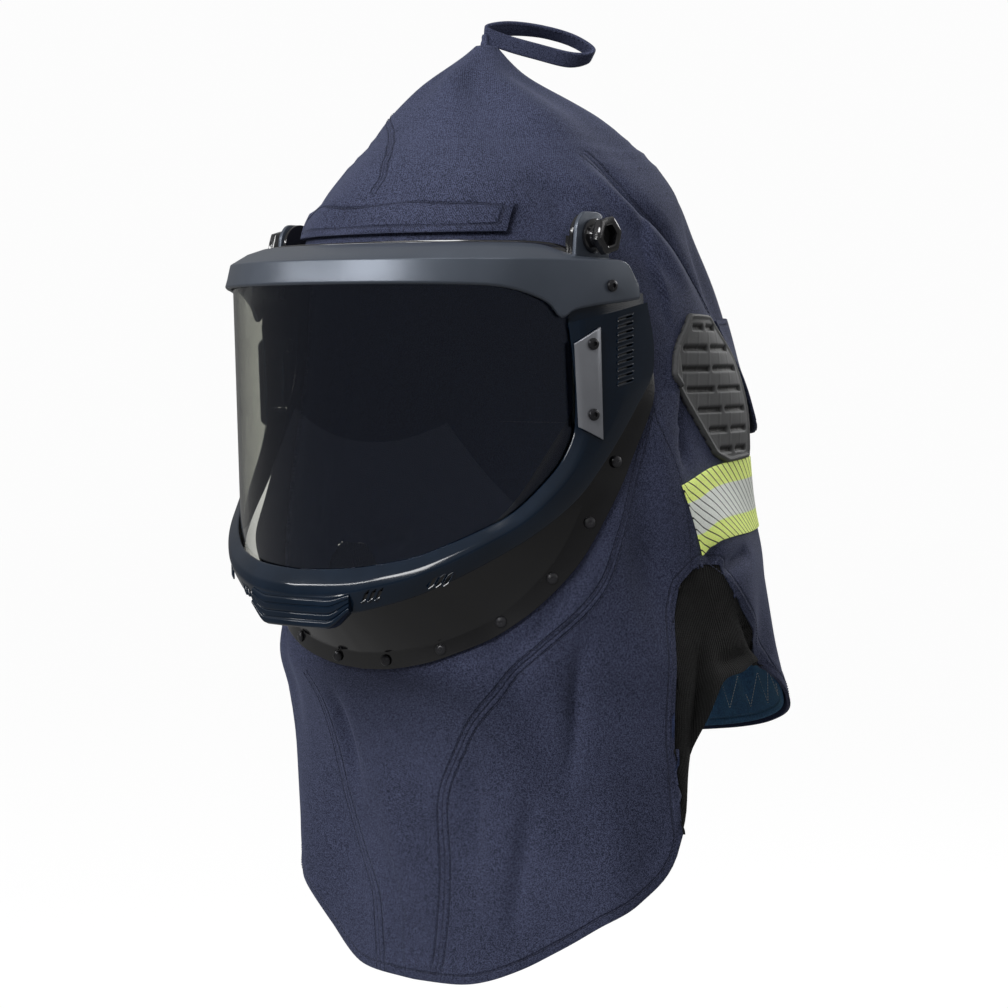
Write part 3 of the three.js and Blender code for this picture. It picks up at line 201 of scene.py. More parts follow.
# Small folds and wrinkles: height and reach in millimetres, and points of angle and height
CREASES = (
    (-3.2, 5, ((71.6, -5), (80, -17), (91.7, -42), (102.5, -62), (110.2, -90), (113.9, -111))),
    (2.6, 8, ((66.9, -13), (76, -30), (90, -57), (100.5, -100))),
    (2.2, 8, ((59.8, -10), (70.3, -34), (82.3, -64), (89.4, -91))),
    (-1.8, 5, ((62, -8), (73, -32), (86, -61), (95, -96))),
    (-1.2, 4, ((47.8, -24), (55.5, -30), (66.9, -41))),
    (-1, 4, ((58.8, -38), (62.9, -60))),
    (-2.4, 5, ((84.7, -124), (82, -148), (79.3, -171))),
    (-2.2, 5, ((88.7, -171), (90, -196), (90.7, -219))),
    (-3, 4, ((59.8, -258), (56.2, -276), (49.8, -299), (43.1, -319), (37.7, -332))),
    (2.4, 5, ((62.5, -262), (58.5, -284), (52, -308), (45, -330), (36, -350))),
    (-2.2, 4, ((61.5, -272), (57.5, -291), (49.5, -318), (41, -340), (31.7, -363))),
    (-2.4, 5, ((53.5, -329), (50.1, -355), (44.4, -382), (37, -424))),
    (-2.4, 5, ((94.4, -290), (101, -282), (108.5, -276))),
    (-1.6, 4, ((92.1, -285), (93.4, -270))),
    (-2.6, 6, ((84.4, -334), (79, -375), (74.3, -414), (68.2, -454))),
    (-1.6, 5, ((86, -352), (100, -347))),
    (-3, 6, ((96.8, -310), (101.8, -340), (114.6, -366))),
    (-2.2, 5, ((-11.7, -373), (-10, -410), (-8.3, -446))),
    (-1.8, 8, ((12.8, -413), (11.5, -455), (10.2, -497))),
    (1.6, 9, ((-2, -420), (-1, -470), (2, -540))),
    (-1.8, 7, ((26, -430), (22, -480), (19, -545))),
    (-3, 5, ((-73, -6), (-82, -20), (-93, -45), (-104, -68), (-112, -100))),
    (2.4, 8, ((-64, -12), (-75, -33), (-88, -60), (-98, -98))),
    (-2.4, 5, ((-60, -260), (-55, -284), (-46, -315), (-36, -345))),
    (-2, 5, ((-54, -330), (-48, -370), (-40, -420))),
    (-2.6, 6, ((-85, -330), (-78, -380), (-70, -440))),
    (-2.4, 5, ((-95, -292), (-108, -278))),
    (-3.4, 8, ((150, -292), (155, -340), (152, -400))),
    (3, 9, ((166, -285), (168, -345), (163, -410))),
    (-3.2, 8, ((-146, -290), (-150, -345), (-148, -400))),
    (2.6, 9, ((-166, -288), (-168, -350), (-171, -415))),
    (-2.4, 7, ((150, -20), (158, -60), (163, -105))),
    (-2.2, 7, ((-148, -24), (-158, -62), (-165, -104))),
)

# Sewn seams: half the distance between the two rows of stitches, and points of angle and height
FRONT_SEAMS = (
    (3, ((3.1, -568), (4.1, -535), (4.6, -500), (4.8, -465), (7, -429), (15.2, -394), (28.6, -364),
         (41.9, -336), (52.3, -313.5), (59.7, -291.5), (64.7, -265.5), (69.9, -236), (74.2, -207),
         (77.6, -178.5))),
    (3, ((-5.3, -583), (-5.3, -548), (-5.7, -519), (-9.5, -484), (-12.3, -450), (-14.2, -415),
         (-16.5, -382.5), (-19.2, -361.5))),
)
CROWN_SEAMS = (
    (2.2, ((-45, 26), (-21.7, 15), (-7.3, 0), (-2.6, -12), (0.4, -23), (0, -32))),
    (2.2, ((71.6, -5), (80, -17), (91.7, -42), (102.5, -62), (110.2, -90), (113.9, -111))),
    (2.2, ((-73, -6), (-82, -20), (-93, -45), (-104, -68), (-112, -100))),
    (0, ((77.6, -151), (78, -164), (79.3, -180.5), (83.7, -201), (87.7, -225), (88.4, -259),
         (86.4, -284))),
    (0, ((-77.6, -151), (-79.3, -180.5), (-84, -205), (-88, -235), (-87, -284))),
    (2.2, ((180, 40), (180, -20), (180, -110))),
    (2.2, ((180, -280), (180, -350), (180, -428))),
)

# The knit gusset's outline from the side
GUSSET = table(
    "back level",
    (0.103, -0.491), (0.086, -0.497), (0.049, -0.515), (0.034, -0.55), (0.021, -0.631),
    (0.014, -0.701), (0.02, -0.79), (0.031, -0.837), (0.051, -0.87), (0.48, -0.87), (0.451, -0.682),
    (0.417, -0.643), (0.383, -0.619), (0.32, -0.588), (0.251, -0.553), (0.197, -0.522),
    (0.166, -0.495),
)

# The face frame's window, its flange and its wall's front lip
WINDOW = table(
    "half down flange lip_half lip_down reach",
    (0, 0.006, 0.3, 0, 0.008, 1), (0.3, 0.006, 0.3, 0.3, 0.008, 1),
    (0.58, 0.007, 0.3, 0.58, 0.01, 1), (0.78, 0.012, 0.3, 0.78, 0.014, 0.75),
    (0.9, 0.07, 0.3, 0.88, 0.075, 0.35), (0.955, 0.15, 0.5, 0.93, 0.15, 0.18),
    (0.99, 0.27, 0.8, 0.945, 0.27, 0.14), (1, 0.4, 1, 0.93, 0.4, 0.18),
    (0.985, 0.52, 1, 0.88, 0.51, 0.36), (0.938, 0.655, 1, 0.8, 0.64, 0.62),
    (0.85, 0.785, 1, 0.66, 0.74, 0.83), (0.682, 0.895, 1, 0.46, 0.81, 0.8),
    (0.443, 0.961, 1, 0.26, 0.84, 0.8), (0.2, 0.992, 1, 0.11, 0.85, 0.8), (0, 1, 1, 0, 0.853, 0.8),
)

BROW = table(
    "angle crest edge foot",
    (0, 0, 0.46, 1), (25, 0, 0.46, 1), (45, 0, 0.45, 1.02), (52, 0, 0.45, 1.08),
    (58, 0.01, 0.44, 1.25), (62, 0.04, 0.44, 1.46), (64.8, 0.09, 0.44, 1.76), (67, 0.16, 0.44, 1.61),
    (71, 0.34, 0.43, 1.5), (78, 0.38, 0.43, 1.4), (81.2, 0.4, 0.5, 1.36), (84.6, 0.6, 1, 1.3),
)

LOWER = table(
    "inner_angle inner_down outer_angle outer_down crest proud",
    (66.4, 0.208, 87.6, 0.152, 0.15, 1.1), (67.3, 0.288, 90, 0.276, 0.16, 1.15),
    (68, 0.388, 89.8, 0.328, 0.18, 1.2), (67.8, 0.476, 84, 0.432, 0.22, 1.3),
    (65, 0.556, 75.5, 0.565, 0.3, 1.5), (60.4, 0.62, 68, 0.665, 0.36, 1.8),
    (53, 0.696, 58.5, 0.748, 0.4, 2), (44.9, 0.744, 48.5, 0.815, 0.44, 2.2),
    (37, 0.783, 39, 0.87, 0.48, 2.3), (29.9, 0.812, 30.5, 0.911, 0.5, 2.4),
    (21, 0.832, 21, 0.943, 0.52, 2.4), (13.5, 0.843, 13.5, 0.96, 0.54, 2.4),
    (0, 0.851, 0, 0.97, 0.55, 2.4),
)
LENS_FOOT = table(
    "angle down",
    (0, 0.905), (15, 0.9), (30, 0.86), (45, 0.778), (53, 0.724), (60, 0.655), (66, 0.59), (70, 0.53),
    (74, 0.45),
)
CHIN_FOOT = table("angle down", (0, 1), (9.4, 1), (15.5, 0.952))
PLATE = table(
    "front_angle rear_angle front_down rear_down",
    (66.9, 73.2, 0.262, 0.219), (67.7, 73.7, 0.478, 0.512),
)
VENT = table(
    "back down",
    (0.255, 0), (0.569, 0), (0.922, 0.272), (1, 0.65), (0.98, 0.981), (0.647, 1), (0.471, 0.942),
    (0, 0.408), (0.039, 0.252),
)
FLAP_TOP = table(
    "across rise",
    (1, 0.86), (0.72, 0.97), (0.4, 1.1), (0.12, 0.96), (-0.16, 0.9), (-0.5, 1.02), (-0.8, 0.86),
    (-1, 0.8),
)
BAND_TOP = table("back level", (0.054, -0.398), (0.171, -0.379), (0.343, -0.372), (0.657, -0.37))
BAND_FOOT = table("back level", (0.109, -0.482), (0.171, -0.466), (0.343, -0.461), (0.657, -0.459))
LOOP_RUN = table(
    "along rise",
    (0, 0), (0.1, 0.2), (0.3, 0.3), (0.58, 0.22), (0.84, -0.06), (1, -0.5), (0.96, -0.78),
    (0.76, -0.88), (0.45, -0.6), (0.17, -0.3),
)
KNOB = table(
    "radius height hex",
    (0.86, 0, 0), (0.88, 0.5 / KNOB_LENGTH, 0), (0.88, 0.14, 0), (0.84, 0.17, 0), (0.62, 0.24, 0),
    (0.6, 0.34, 0),
    (0.76, 0.5, 0.5), (0.93, 0.6, 0.8), (0.97, 0.66, 0.9), (0.97, 0.9, 0.9), (0.9, 0.98, 0.8), (0.82, 1, 0.6),
    (0.62, 1, 0.6), (0.55, 0.96, 0.7), (0.5, 0.6, 0.8),
)
LOOP_TWIST = table(
    "share turn",
    (0, 78), (0.12, 60), (0.3, 34), (0.5, 30), (0.62, 38), (0.75, 74), (0.9, 92), (1, 78),
)


# Curves and grids

def along(rows, key, column, at):
    """A column's value between the rows, on a smooth curve that never overshoots a row."""
    x = rows[key] if key else np.arange(len(rows[column]), dtype=float)
    y = rows[column]
    at = np.clip(np.asarray(at, float), x[0], x[-1])
    rise = np.diff(y) / np.diff(x)
    mean = (rise[:-1] + rise[1:]) / 2
    most = 3 * np.minimum(abs(rise[:-1]), abs(rise[1:]))
    inner = np.where(rise[:-1] * rise[1:] <= 0, 0, np.sign(mean) * np.minimum(abs(mean), most))
    slope = np.concatenate(([rise[0]], inner, [rise[-1]]))
    i = np.clip(np.searchsorted(x, at, side="right") - 1, 0, len(x) - 2)
    width = x[i + 1] - x[i]
    s = (at - x[i]) / width
    start = y[i] * (1 + 2 * s) * (1 - s) ** 2 + y[i + 1] * s * s * (3 - 2 * s)
    return start + width * s * (1 - s) * (slope[i] * (1 - s) - slope[i + 1] * s)


def along_rows(rows, column, share):
    """A column's value at an even share of the rows."""
    return along(rows, None, column, share * (len(rows[column]) - 1))


def mix(a, b, share):
    return a + (b - a) * share


def smooth(value):
    """A soft step from 0 to 1."""
    s = np.clip(value, 0, 1)
    return s * s * (3 - 2 * s)


def power(value, roundness):
    return np.sign(value) * np.abs(value) ** (2 / roundness)


def unit(vectors):
    return vectors / np.maximum(np.linalg.norm(vectors, axis=-1, keepdims=True), 1e-12)


def grid_faces(rows, columns, wrap=False):
    """Four-sided faces over a grid of points, joined end to end when wrap is set."""
    across = columns if wrap else columns - 1
    i, j = np.meshgrid(np.arange(rows - 1), np.arange(across), indexing="ij")
    k = (j + 1) % columns
    faces = np.stack([i * columns + j, i * columns + k, (i + 1) * columns + k, (i + 1) * columns + j], -1)
    return faces.reshape(-1, 4)


def to_outline(points, outline):
    """How far inside a closed outline each point is, and the outline's nearest point."""
    start, end = outline, np.roll(outline, -1, 0)
    run = end - start
    away = points[:, None] - start
    share = np.clip((away * run).sum(-1) / np.maximum((run * run).sum(-1), 1e-12), 0, 1)
    near = start + share[..., None] * run
    distance = np.linalg.norm(points[:, None] - near, axis=-1)
    best = distance.argmin(1)
    row = np.arange(len(points))
    crosses = (start[:, 1] > points[:, None, 1]) != (end[:, 1] > points[:, None, 1])
    rise = np.where(run[:, 1] == 0, 1e-12, run[:, 1])
    at = start[:, 0] + (points[:, None, 1] - start[:, 1]) / rise * run[:, 0]
    inside = (crosses & (points[:, None, 0] < at)).sum(1) % 2 == 1
    return np.where(inside, 1, -1) * distance[row, best], near[row, best]


def to_line(points, line):
    """Signed distance of points from an open line, and the share along it of the nearest point."""
    start, end = line[:-1], line[1:]
    run = end - start
    length = np.linalg.norm(run, axis=1)
    away = points[:, None] - start
    share = np.clip((away * run).sum(-1) / length ** 2, 0, 1)
    near = start + share[..., None] * run
    gap = points[:, None] - near
    distance = np.linalg.norm(gap, axis=-1)
    best = distance.argmin(1)
    row = np.arange(len(points))
    side = np.sign(run[best, 0] * away[row, best, 1] - run[best, 1] * away[row, best, 0])
    walked = np.concatenate(([0], np.cumsum(length)))
    total = (walked[best] + share[row, best] * length[best]) / walked[-1]
    return np.where(side == 0, 1, side) * distance[row, best], total


def softened(line, steps=6):
    """A line of points made denser on a smooth curve through them."""
    points = np.asarray(line, float)
    rows = {"x": points[:, 0], "y": points[:, 1]}
    share = np.linspace(0, 1, (len(points) - 1) * steps + 1)
    return np.stack([along_rows(rows, "x", share), along_rows(rows, "y", share)], 1)


def rounded(rings, radii, steps=3):
    """Closed rings of points with each corner turned into a small arc."""
    parts = []
    count = rings.shape[1]
    for k in range(count):
        corner = rings[:, k]
        if not radii[k]:
            parts.append(corner[:, None])
            continue
        ends = []
        for other in (rings[:, k - 1], rings[:, (k + 1) % count]):
            length = np.linalg.norm(other - corner, axis=1, keepdims=True)
            ends.append(corner + (other - corner) * np.minimum(radii[k] / np.maximum(length, 1e-9), 0.48))
        t = np.linspace(0, 1, steps + 1)[None, :, None]
        first, last = (end[:, None] for end in ends)
        parts.append((1 - t) ** 2 * first + 2 * t * (1 - t) * corner[:, None] + t ** 2 * last)
    return np.concatenate(parts, 1)


def grown(outline, by):
    """A closed outline moved outwards, or inwards when by is negative."""
    before, after = np.roll(outline, 1, 0), np.roll(outline, -1, 0)
    area = (outline[:, 0] * after[:, 1] - outline[:, 1] * after[:, 0]).sum() / 2
    first = unit(np.stack([outline[:, 1] - before[:, 1], before[:, 0] - outline[:, 0]], 1))
    second = unit(np.stack([after[:, 1] - outline[:, 1], outline[:, 0] - after[:, 0]], 1))
    corner = unit(first + second)
    step = np.sign(area) * by / np.maximum((corner * first).sum(1), 0.5)
    return outline + corner * step[:, None]


def rounded_outline(outline, radius, steps=5):
    """A flat closed outline with rounded corners."""
    return rounded(np.asarray(outline, float)[None], [radius] * len(outline), steps)[0]


def patch(outline, step):
    """Faces that fill an outline, with their rim on it, and each point's distance from the rim."""
    low, high = outline.min(0) - step, outline.max(0) + step
    columns, rows = (int(math.ceil(span / step)) + 1 for span in high - low)
    across, up = np.meshgrid(np.linspace(low[0], high[0], columns), np.linspace(low[1], high[1], rows))
    points = np.stack([across.ravel(), up.ravel()], 1)
    inside, near = to_outline(points, outline)
    snapped = abs(inside) < 0.56 * step
    points[snapped] = near[snapped]
    inside[snapped] = 0
    faces = grid_faces(rows, columns)
    faces = faces[(inside[faces] >= 0).all(1)]
    middle = points[faces].mean(1)
    faces = faces[to_outline(middle, outline)[0] > 0.05]
    used, index = np.unique(faces, return_inverse=True)
    return points[used], index.reshape(-1, 4), inside[used]


# The cloth's surface

def cloth_section(z):
    """Half width, middle, front, back and roundness at a height, eased over the rows of the table."""
    read = [0, 0, 0, 0, 0]
    for ease, weight in ((-9, 0.25), (0, 0.5), (9, 0.25)):
        height = np.minimum(z + ease * smooth((CROWN_RISE - z) / 12), CROWN_RISE)
        level = np.where(height > 0, height / CROWN_RISE, height / HOOD_DROP)
        read = [total + weight * along(CLOTH_SECTIONS, "level", column, level)
                for total, column in zip(read, ("half", "mid", "front", "back", "round"))]
    half, mid, front, back, roundness = read
    return half * HOOD_WIDTH / 2, mid * HOOD_DEPTH, front * HOOD_DEPTH, back * HOOD_DEPTH, roundness


def hump(share):
    return np.where(abs(share) < 1, (1 + np.cos(np.pi * np.clip(share, -1, 1))) / 2, 0)


def fold_height(angle, z):
    level = np.where(z > 0, z / CROWN_RISE, z / HOOD_DROP)
    total = np.zeros_like(angle * z)
    for turn, spread, start, end, depth in zip(*FOLDS.values()):
        away = (np.degrees(angle) - turn + 540) % 360 - 180
        run = (level - (start + end) / 2) / (abs(end - start) / 2)
        total += depth * FOLD_DEPTH * hump(away / spread) * hump(run)
    return total


def cloth_skin(angle, z):
    """A point of the cloth's outer face. Angle is in radians from the front to the wearer's left."""
    half, mid, front, back, roundness = cloth_section(z)
    ahead = np.cos(angle) > 0
    roundness = np.where(ahead, roundness, BACK_ROUNDNESS)
    depth = np.where(ahead, mid - front, back - mid)
    fold = fold_height(angle, z)
    x = half * power(np.sin(angle), roundness) + fold * np.sin(angle)
    y = mid - depth * power(np.cos(angle), roundness) - fold * np.cos(angle)
    return np.stack(np.broadcast_arrays(x, y, z), -1)


def cloth_point(angle, z, offset=0.0):
    """A point of the cloth moved out along its normal."""
    angle, z = np.broadcast_arrays(np.asarray(angle, float), np.asarray(z, float))
    turn, climb = 0.03, 1.0
    across = cloth_skin(angle + turn, z) - cloth_skin(angle - turn, z)
    up = cloth_skin(angle, z + climb) - cloth_skin(angle, z - climb)
    normal = unit(np.cross(across, up))
    return cloth_skin(angle, z) + normal * np.asarray(offset, float)[..., None]


def unrolled(angle, z):
    """A place on the cloth laid flat: angle is in degrees from -180 to 180."""
    half = cloth_section(z)[0]
    return np.stack([np.radians(angle) * half, z], -1)


def front_angle(x, z):
    half, _, _, _, roundness = cloth_section(z)
    share = np.minimum(abs(x) / half, 1)
    return np.sign(x) * np.arcsin(share ** (roundness / 2))


def back_angle(x, z):
    half = cloth_section(z)[0]
    share = np.minimum(abs(x) / half, 1)
    return np.where(x < 0, -1, 1) * (np.pi - np.arcsin(share ** (BACK_ROUNDNESS / 2)))


def side_angle(y, z):
    _, mid, front, back, roundness = cloth_section(z)
    roundness = np.where(y < mid, roundness, BACK_ROUNDNESS)
    share = np.clip((mid - y) / np.where(y < mid, mid - front, back - mid), -1, 1)
    return np.arccos(power(share, 4 / roundness))


def hem_height(angle):
    turned = (np.degrees(angle) + 540) % 360 - 180
    left = along(HEM, "angle", "left", abs(turned))
    right = along(HEM, "angle", "right", abs(turned))
    return HOOD_DROP * np.where(turned < 0, right, left)


def window_rows(count):
    """Stations all the way round the face frame's window."""
    share = np.linspace(0, 1, count // 2 + 1)
    read = {column: along_rows(WINDOW, column, share) for column in WINDOW}
    rows = {
        "x": read["half"] * FRAME_WIDTH / 2,
        "z": -BROW_DROP - read["down"] * FRAME_DROP,
        "flange": read["flange"] * FLANGE_WIDTH,
        "lip_x": read["lip_half"] * FRAME_WIDTH / 2,
        "lip_z": -BROW_DROP - read["lip_down"] * FRAME_DROP,
        "reach": read["reach"],
    }
    sign = {"x": -1, "lip_x": -1}
    return {key: np.concatenate((row, sign.get(key, 1) * row[-2:0:-1])) for key, row in rows.items()}


WINDOW_ROWS = window_rows(120)
WINDOW_OUTLINE = np.stack([WINDOW_ROWS["x"], WINDOW_ROWS["z"]], 1)
GUSSET_OUTLINE = np.stack([GUSSET["back"] * HOOD_DEPTH, GUSSET["level"] * HOOD_DROP], 1)


def relief(angle, z):
    """How far small folds and slack lift the cloth off its broad form, in millimetres."""
    shape = np.shape(angle * z)
    turned = ((np.degrees(angle) + 540) % 360 - 180) * np.ones(shape)
    height = z * np.ones(shape)
    flat = unrolled(turned, height).reshape(-1, 2)
    total = np.zeros(len(flat))
    for tall, reach, line in CREASES:
        line = np.asarray(line, float)
        distance, share = to_line(flat, unrolled(line[:, 0], line[:, 1]))
        fade = np.sin(np.pi * np.clip(share, 0.02, 0.98)) ** 0.7
        total += RELIEF * tall * np.exp(-(abs(distance) / reach) ** 1.5) * fade
    wave = np.random.default_rng(7)
    u = turned.ravel()
    for size in WRINKLES:
        turns = wave.integers(2, 9)
        climb, start = wave.uniform(-0.05, 0.05), wave.uniform(0, 6.3)
        total += size * np.sin(np.radians(u) * turns + flat[:, 1] * climb + start)
    skin = cloth_skin(angle, z).reshape(-1, 3)
    front = skin[:, 1] < cloth_section(flat[:, 1])[1]
    outside = np.where(front, -to_outline(skin[:, ::2], WINDOW_OUTLINE)[0], 99)
    crown = smooth((CROWN_RISE - 4 - flat[:, 1]) / 30)
    return (total * smooth((outside - 13) / 22) * crown).reshape(shape)


def soft_point(angle, z, offset=0.0):
    """A point of the cloth with its small folds, moved out along its normal."""
    return cloth_point(angle, z, offset + relief(angle, z))


# The visor's surface

BROW_Z = -BROW_DROP


def visor_z(down):
    return BROW_Z - down * VISOR_HEIGHT


def brow_level(down):
    return BROW_Z - down * BROW_HEIGHT


def cloth_x(y, z):
    return float(cloth_skin(side_angle(np.float64(y), np.float64(z)), np.float64(z))[..., 0])


VISOR_FRONT = float(cloth_skin(np.float64(0), np.float64(brow_level(1)))[1]) - BROW_STAND_OFF
PIVOT_Y = VISOR_FRONT + PIVOT_BACK
PIVOT_Z = BROW_Z + PIVOT_RISE
VISOR_BACK = PIVOT_Y + PANEL_BEHIND_PIVOT
VISOR_REACH = VISOR_BACK - VISOR_FRONT
VISOR_HALF = cloth_x(VISOR_BACK, visor_z(0.32)) + PANEL_STAND_OFF
EAR_NEAR = cloth_x(PIVOT_Y + EAR_RADIUS, PIVOT_Z - EAR_RADIUS) + EAR_CLEARANCE
EAR_FAR = EAR_NEAR + EAR_THICKNESS
MOVER_NEAR = EAR_FAR + EAR_CLEARANCE
MOVER_FAR = MOVER_NEAR + EAR_THICKNESS
LENS_HALF = LENS_WALL / 2
SKIN_START = LENS_HALF + SKIN_CLEARANCE
SHELF_HALF = MOVER_NEAR + EAR_THICKNESS / 2
SHELF_REACH = VISOR_REACH - SHELF_DEPTH


def visor_point(angle, z, offset=0.0):
    """A point of the visor at an angle in degrees and a height, moved out by an offset."""
    angle, z, offset = np.broadcast_arrays(*(np.asarray(v, float) for v in (angle, z, offset)))
    turn = np.radians(angle)
    reach = VISOR_REACH - VISOR_LEAN * np.maximum(0, (brow_level(1) - z) / VISOR_HEIGHT)
    normal = unit(np.stack([np.sin(turn) / VISOR_HALF, -np.cos(turn) / reach, np.zeros_like(turn)], -1))
    point = np.stack([VISOR_HALF * np.sin(turn), VISOR_BACK - reach * np.cos(turn), z], -1)
    return point + normal * offset[..., None]


def visor_normal(angle, z):
    return unit(visor_point(angle, z, 1) - visor_point(angle, z, 0))


def shelf_point(angle, z):
    turn = np.radians(angle)
    x = SHELF_HALF * power(np.sin(turn), SHELF_ROUNDNESS)
    y = VISOR_BACK - SHELF_REACH * power(np.cos(turn), SHELF_ROUNDNESS)
    return np.stack(np.broadcast_arrays(x, y, z), -1)


def shelf_y(x):
    share = np.minimum(abs(x) / SHELF_HALF, 1)
    return VISOR_BACK - SHELF_REACH * (1 - share ** SHELF_ROUNDNESS) ** (1 / SHELF_ROUNDNESS)


# Meshes

def mesh_object(name, points, faces, edges=(), uv=None, **attributes):
    """A mesh object from points in millimetres, with a value at each point for every attribute."""
    mesh = bpy.data.meshes.new(name)
    mesh.from_pydata((np.asarray(points) / 1000).tolist(), list(edges), [list(map(int, f)) for f in faces])
    for key, values in attributes.items():
        kind, field = ("FLOAT_VECTOR", "vector") if np.ndim(values) == 2 else ("FLOAT", "value")
        layer = mesh.attributes.new(key, kind, "POINT")
        layer.data.foreach_set(field, np.asarray(values, np.float32).ravel())
    if uv is not None:
        layer = mesh.uv_layers.new(name="flat")
        corners = np.zeros(len(mesh.loops), np.int32)
        mesh.loops.foreach_get("vertex_index", corners)
        layer.data.foreach_set("uv", np.asarray(uv, np.float32)[corners].ravel())
    mesh.validate()
    obj = bpy.data.objects.new(name, mesh)
    bpy.context.scene.collection.objects.link(obj)
    return obj


@contextmanager
def edited(obj):
    """An object's mesh, open for bmesh calls and written back at the end."""
    mesh = bmesh.new()
    mesh.from_mesh(obj.data)
    yield mesh
    mesh.to_mesh(obj.data)
    mesh.free()


def shade_smooth(obj):
    obj.data.polygons.foreach_set("use_smooth", [True] * len(obj.data.polygons))


def tidy_mesh(obj, closed=False, angle=None):
    """Merges doubled points, turns a closed shape's faces outwards and sets smooth shading."""
    with edited(obj) as mesh:
        bmesh.ops.remove_doubles(mesh, verts=mesh.verts, dist=WELD / 1000)
        bmesh.ops.dissolve_degenerate(mesh, edges=mesh.edges, dist=WELD / 1000)
        if closed:
            bmesh.ops.recalc_face_normals(mesh, faces=mesh.faces)
    shade_smooth(obj)
    if angle:
        obj.data.set_sharp_from_angle(angle=math.radians(angle))
    return obj


def face_out(obj, centre):
    """Turns an open sheet's faces away from a centre in millimetres."""
    middle = Vector(centre) / 1000
    with edited(obj) as mesh:
        outward = sum(f.normal.dot(f.calc_center_median() - middle) * f.calc_area() for f in mesh.faces)
        if outward < 0:
            bmesh.ops.reverse_faces(mesh, faces=mesh.faces)


def joined(name, parts):
    """Several meshes as one object."""
    mesh = bmesh.new()
    for part in parts:
        mesh.from_mesh(part.data)
    data = bpy.data.meshes.new(name)
    mesh.to_mesh(data)
    mesh.free()
    for part in parts:
        bpy.data.objects.remove(part)
    obj = bpy.data.objects.new(name, data)
    bpy.context.scene.collection.objects.link(obj)
    return obj


def loft(name, rings, closed=False, angle=35, **attributes):
    """A closed solid through rings of points, joined end to end or with a face at each end."""
    count, size = rings.shape[:2]
    faces = grid_faces(count + 1 if closed else count, size, wrap=True)
    if closed:
        faces = faces % (count * size)
    faces = [list(face) for face in faces]
    if not closed:
        faces += [list(range(size)), list(range((count - 1) * size, count * size))]
    obj = mesh_object(name, rings.reshape(-1, 3), faces, **attributes)
    return tidy_mesh(obj, closed=True, angle=angle)


def slab(name, outline, near, far, sign=1, edge=0.8):
    """A plate of an outline of y and z between two distances from the middle, with rounded rims."""
    levels = [(near, -edge), (near + edge * 0.3, -edge * 0.3), (near + edge, 0), (far - edge, 0),
              (far - edge * 0.3, -edge * 0.3), (far, -edge)]
    rings = []
    for x, shift in levels:
        flat = grown(outline, shift)
        rings.append(np.column_stack([np.full(len(flat), sign * x), flat]))
    return loft(name, np.array(rings), angle=40)


def lathe(name, profile, sections=40, hexed=None):
    """A turned shape of radii and heights along +Z. A row whose hex share is set turns six-sided."""
    turn = np.linspace(0, 2 * np.pi, sections, endpoint=False)
    flat = np.cos(np.pi / 6) / np.cos((turn + np.pi / 6) % (np.pi / 3) - np.pi / 6)
    rows = []
    for i, (radius, height) in enumerate(profile):
        share = hexed[i] if hexed else 0
        size = radius * mix(1, flat * 1.06, share)
        rows.append(np.stack([size * np.cos(turn), size * np.sin(turn), np.full(sections, height)], 1))
    return loft(name, np.array(rows), angle=SCREW_SMOOTH)


def add_modifier(obj, kind, **settings):
    modifier = obj.modifiers.new(kind.title(), kind)
    for key, value in settings.items():
        setattr(modifier, key, value)
    return modifier


def thicken(obj, thickness, bevel=0.6):
    """Gives an open sheet a wall on its inner side, with a softened rim."""
    add_modifier(obj, "SOLIDIFY", thickness=thickness / 1000, offset=-1, use_rim=True)
    if bevel:
        add_modifier(obj, "BEVEL", width=bevel / 1000, segments=2, limit_method="ANGLE",
                     angle_limit=math.radians(60))
    return obj


def baked(obj):
    """Replaces an object's mesh by the result of its modifiers."""
    graph = bpy.context.evaluated_depsgraph_get()
    mesh = bpy.data.meshes.new_from_object(obj.evaluated_get(graph))
    obj.modifiers.clear()
    obj.data = mesh
    return obj


def finish_piece(obj, body, material, nodes=()):
    """Gives a piece its finish, its body and the nodes that it stands for."""
    obj.data.materials.clear()
    obj.data.materials.append(material)
    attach(obj, body)
    if nodes:
        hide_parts(*nodes)
    return obj


def cut_of(obj):
    """A sheet's flat width, length and area in metres, measured along its pattern before it has a wall."""
    mesh = obj.data
    start, total = (np.zeros(len(mesh.polygons), np.int32) for _ in range(2))
    mesh.polygons.foreach_get("loop_start", start)
    mesh.polygons.foreach_get("loop_total", total)
    corner = np.zeros(len(mesh.loops), np.int32)
    mesh.loops.foreach_get("vertex_index", corner)
    points, pattern = np.zeros(len(mesh.vertices) * 3), np.zeros(len(mesh.loops) * 2)
    mesh.vertices.foreach_get("co", points)
    mesh.uv_layers["flat"].data.foreach_get("uv", pattern)
    points, pattern = points.reshape(-1, 3)[corner], pattern.reshape(-1, 2)
    following = np.arange(len(corner)) + 1
    following[start + total - 1] = start
    run = np.linalg.norm(points[following] - points, axis=1)
    reach = np.ptp(pattern, axis=0)
    step = abs(pattern[following] - pattern) / reach
    sides = []
    for axis in (0, 1):
        along = (step[:, axis] > 4 * step[:, 1 - axis]) & (step[:, axis] < 0.1)
        sides.append(run[along].sum() / step[along, axis].sum())
    laid = pattern / reach * sides
    turns = np.radians(np.arange(0, 90, 1.5))[:, None]
    spans = np.stack([np.ptp(laid[:, 0] * np.cos(turns) + laid[:, 1] * np.sin(turns), axis=1),
                      np.ptp(laid[:, 1] * np.cos(turns) - laid[:, 0] * np.sin(turns), axis=1)])
    width, length = sorted(spans[:, spans.prod(axis=0).argmin()])
    return width, length, sum(face.area for face in mesh.polygons)


def declare_sheet(obj, cut):
    """Works out the larger of a cut's length and its area over its width, from the sides of the smallest
    rectangle around the sheet and its area, and keeps nothing.
    """
    width, length, area = cut
    max(length, area / width)


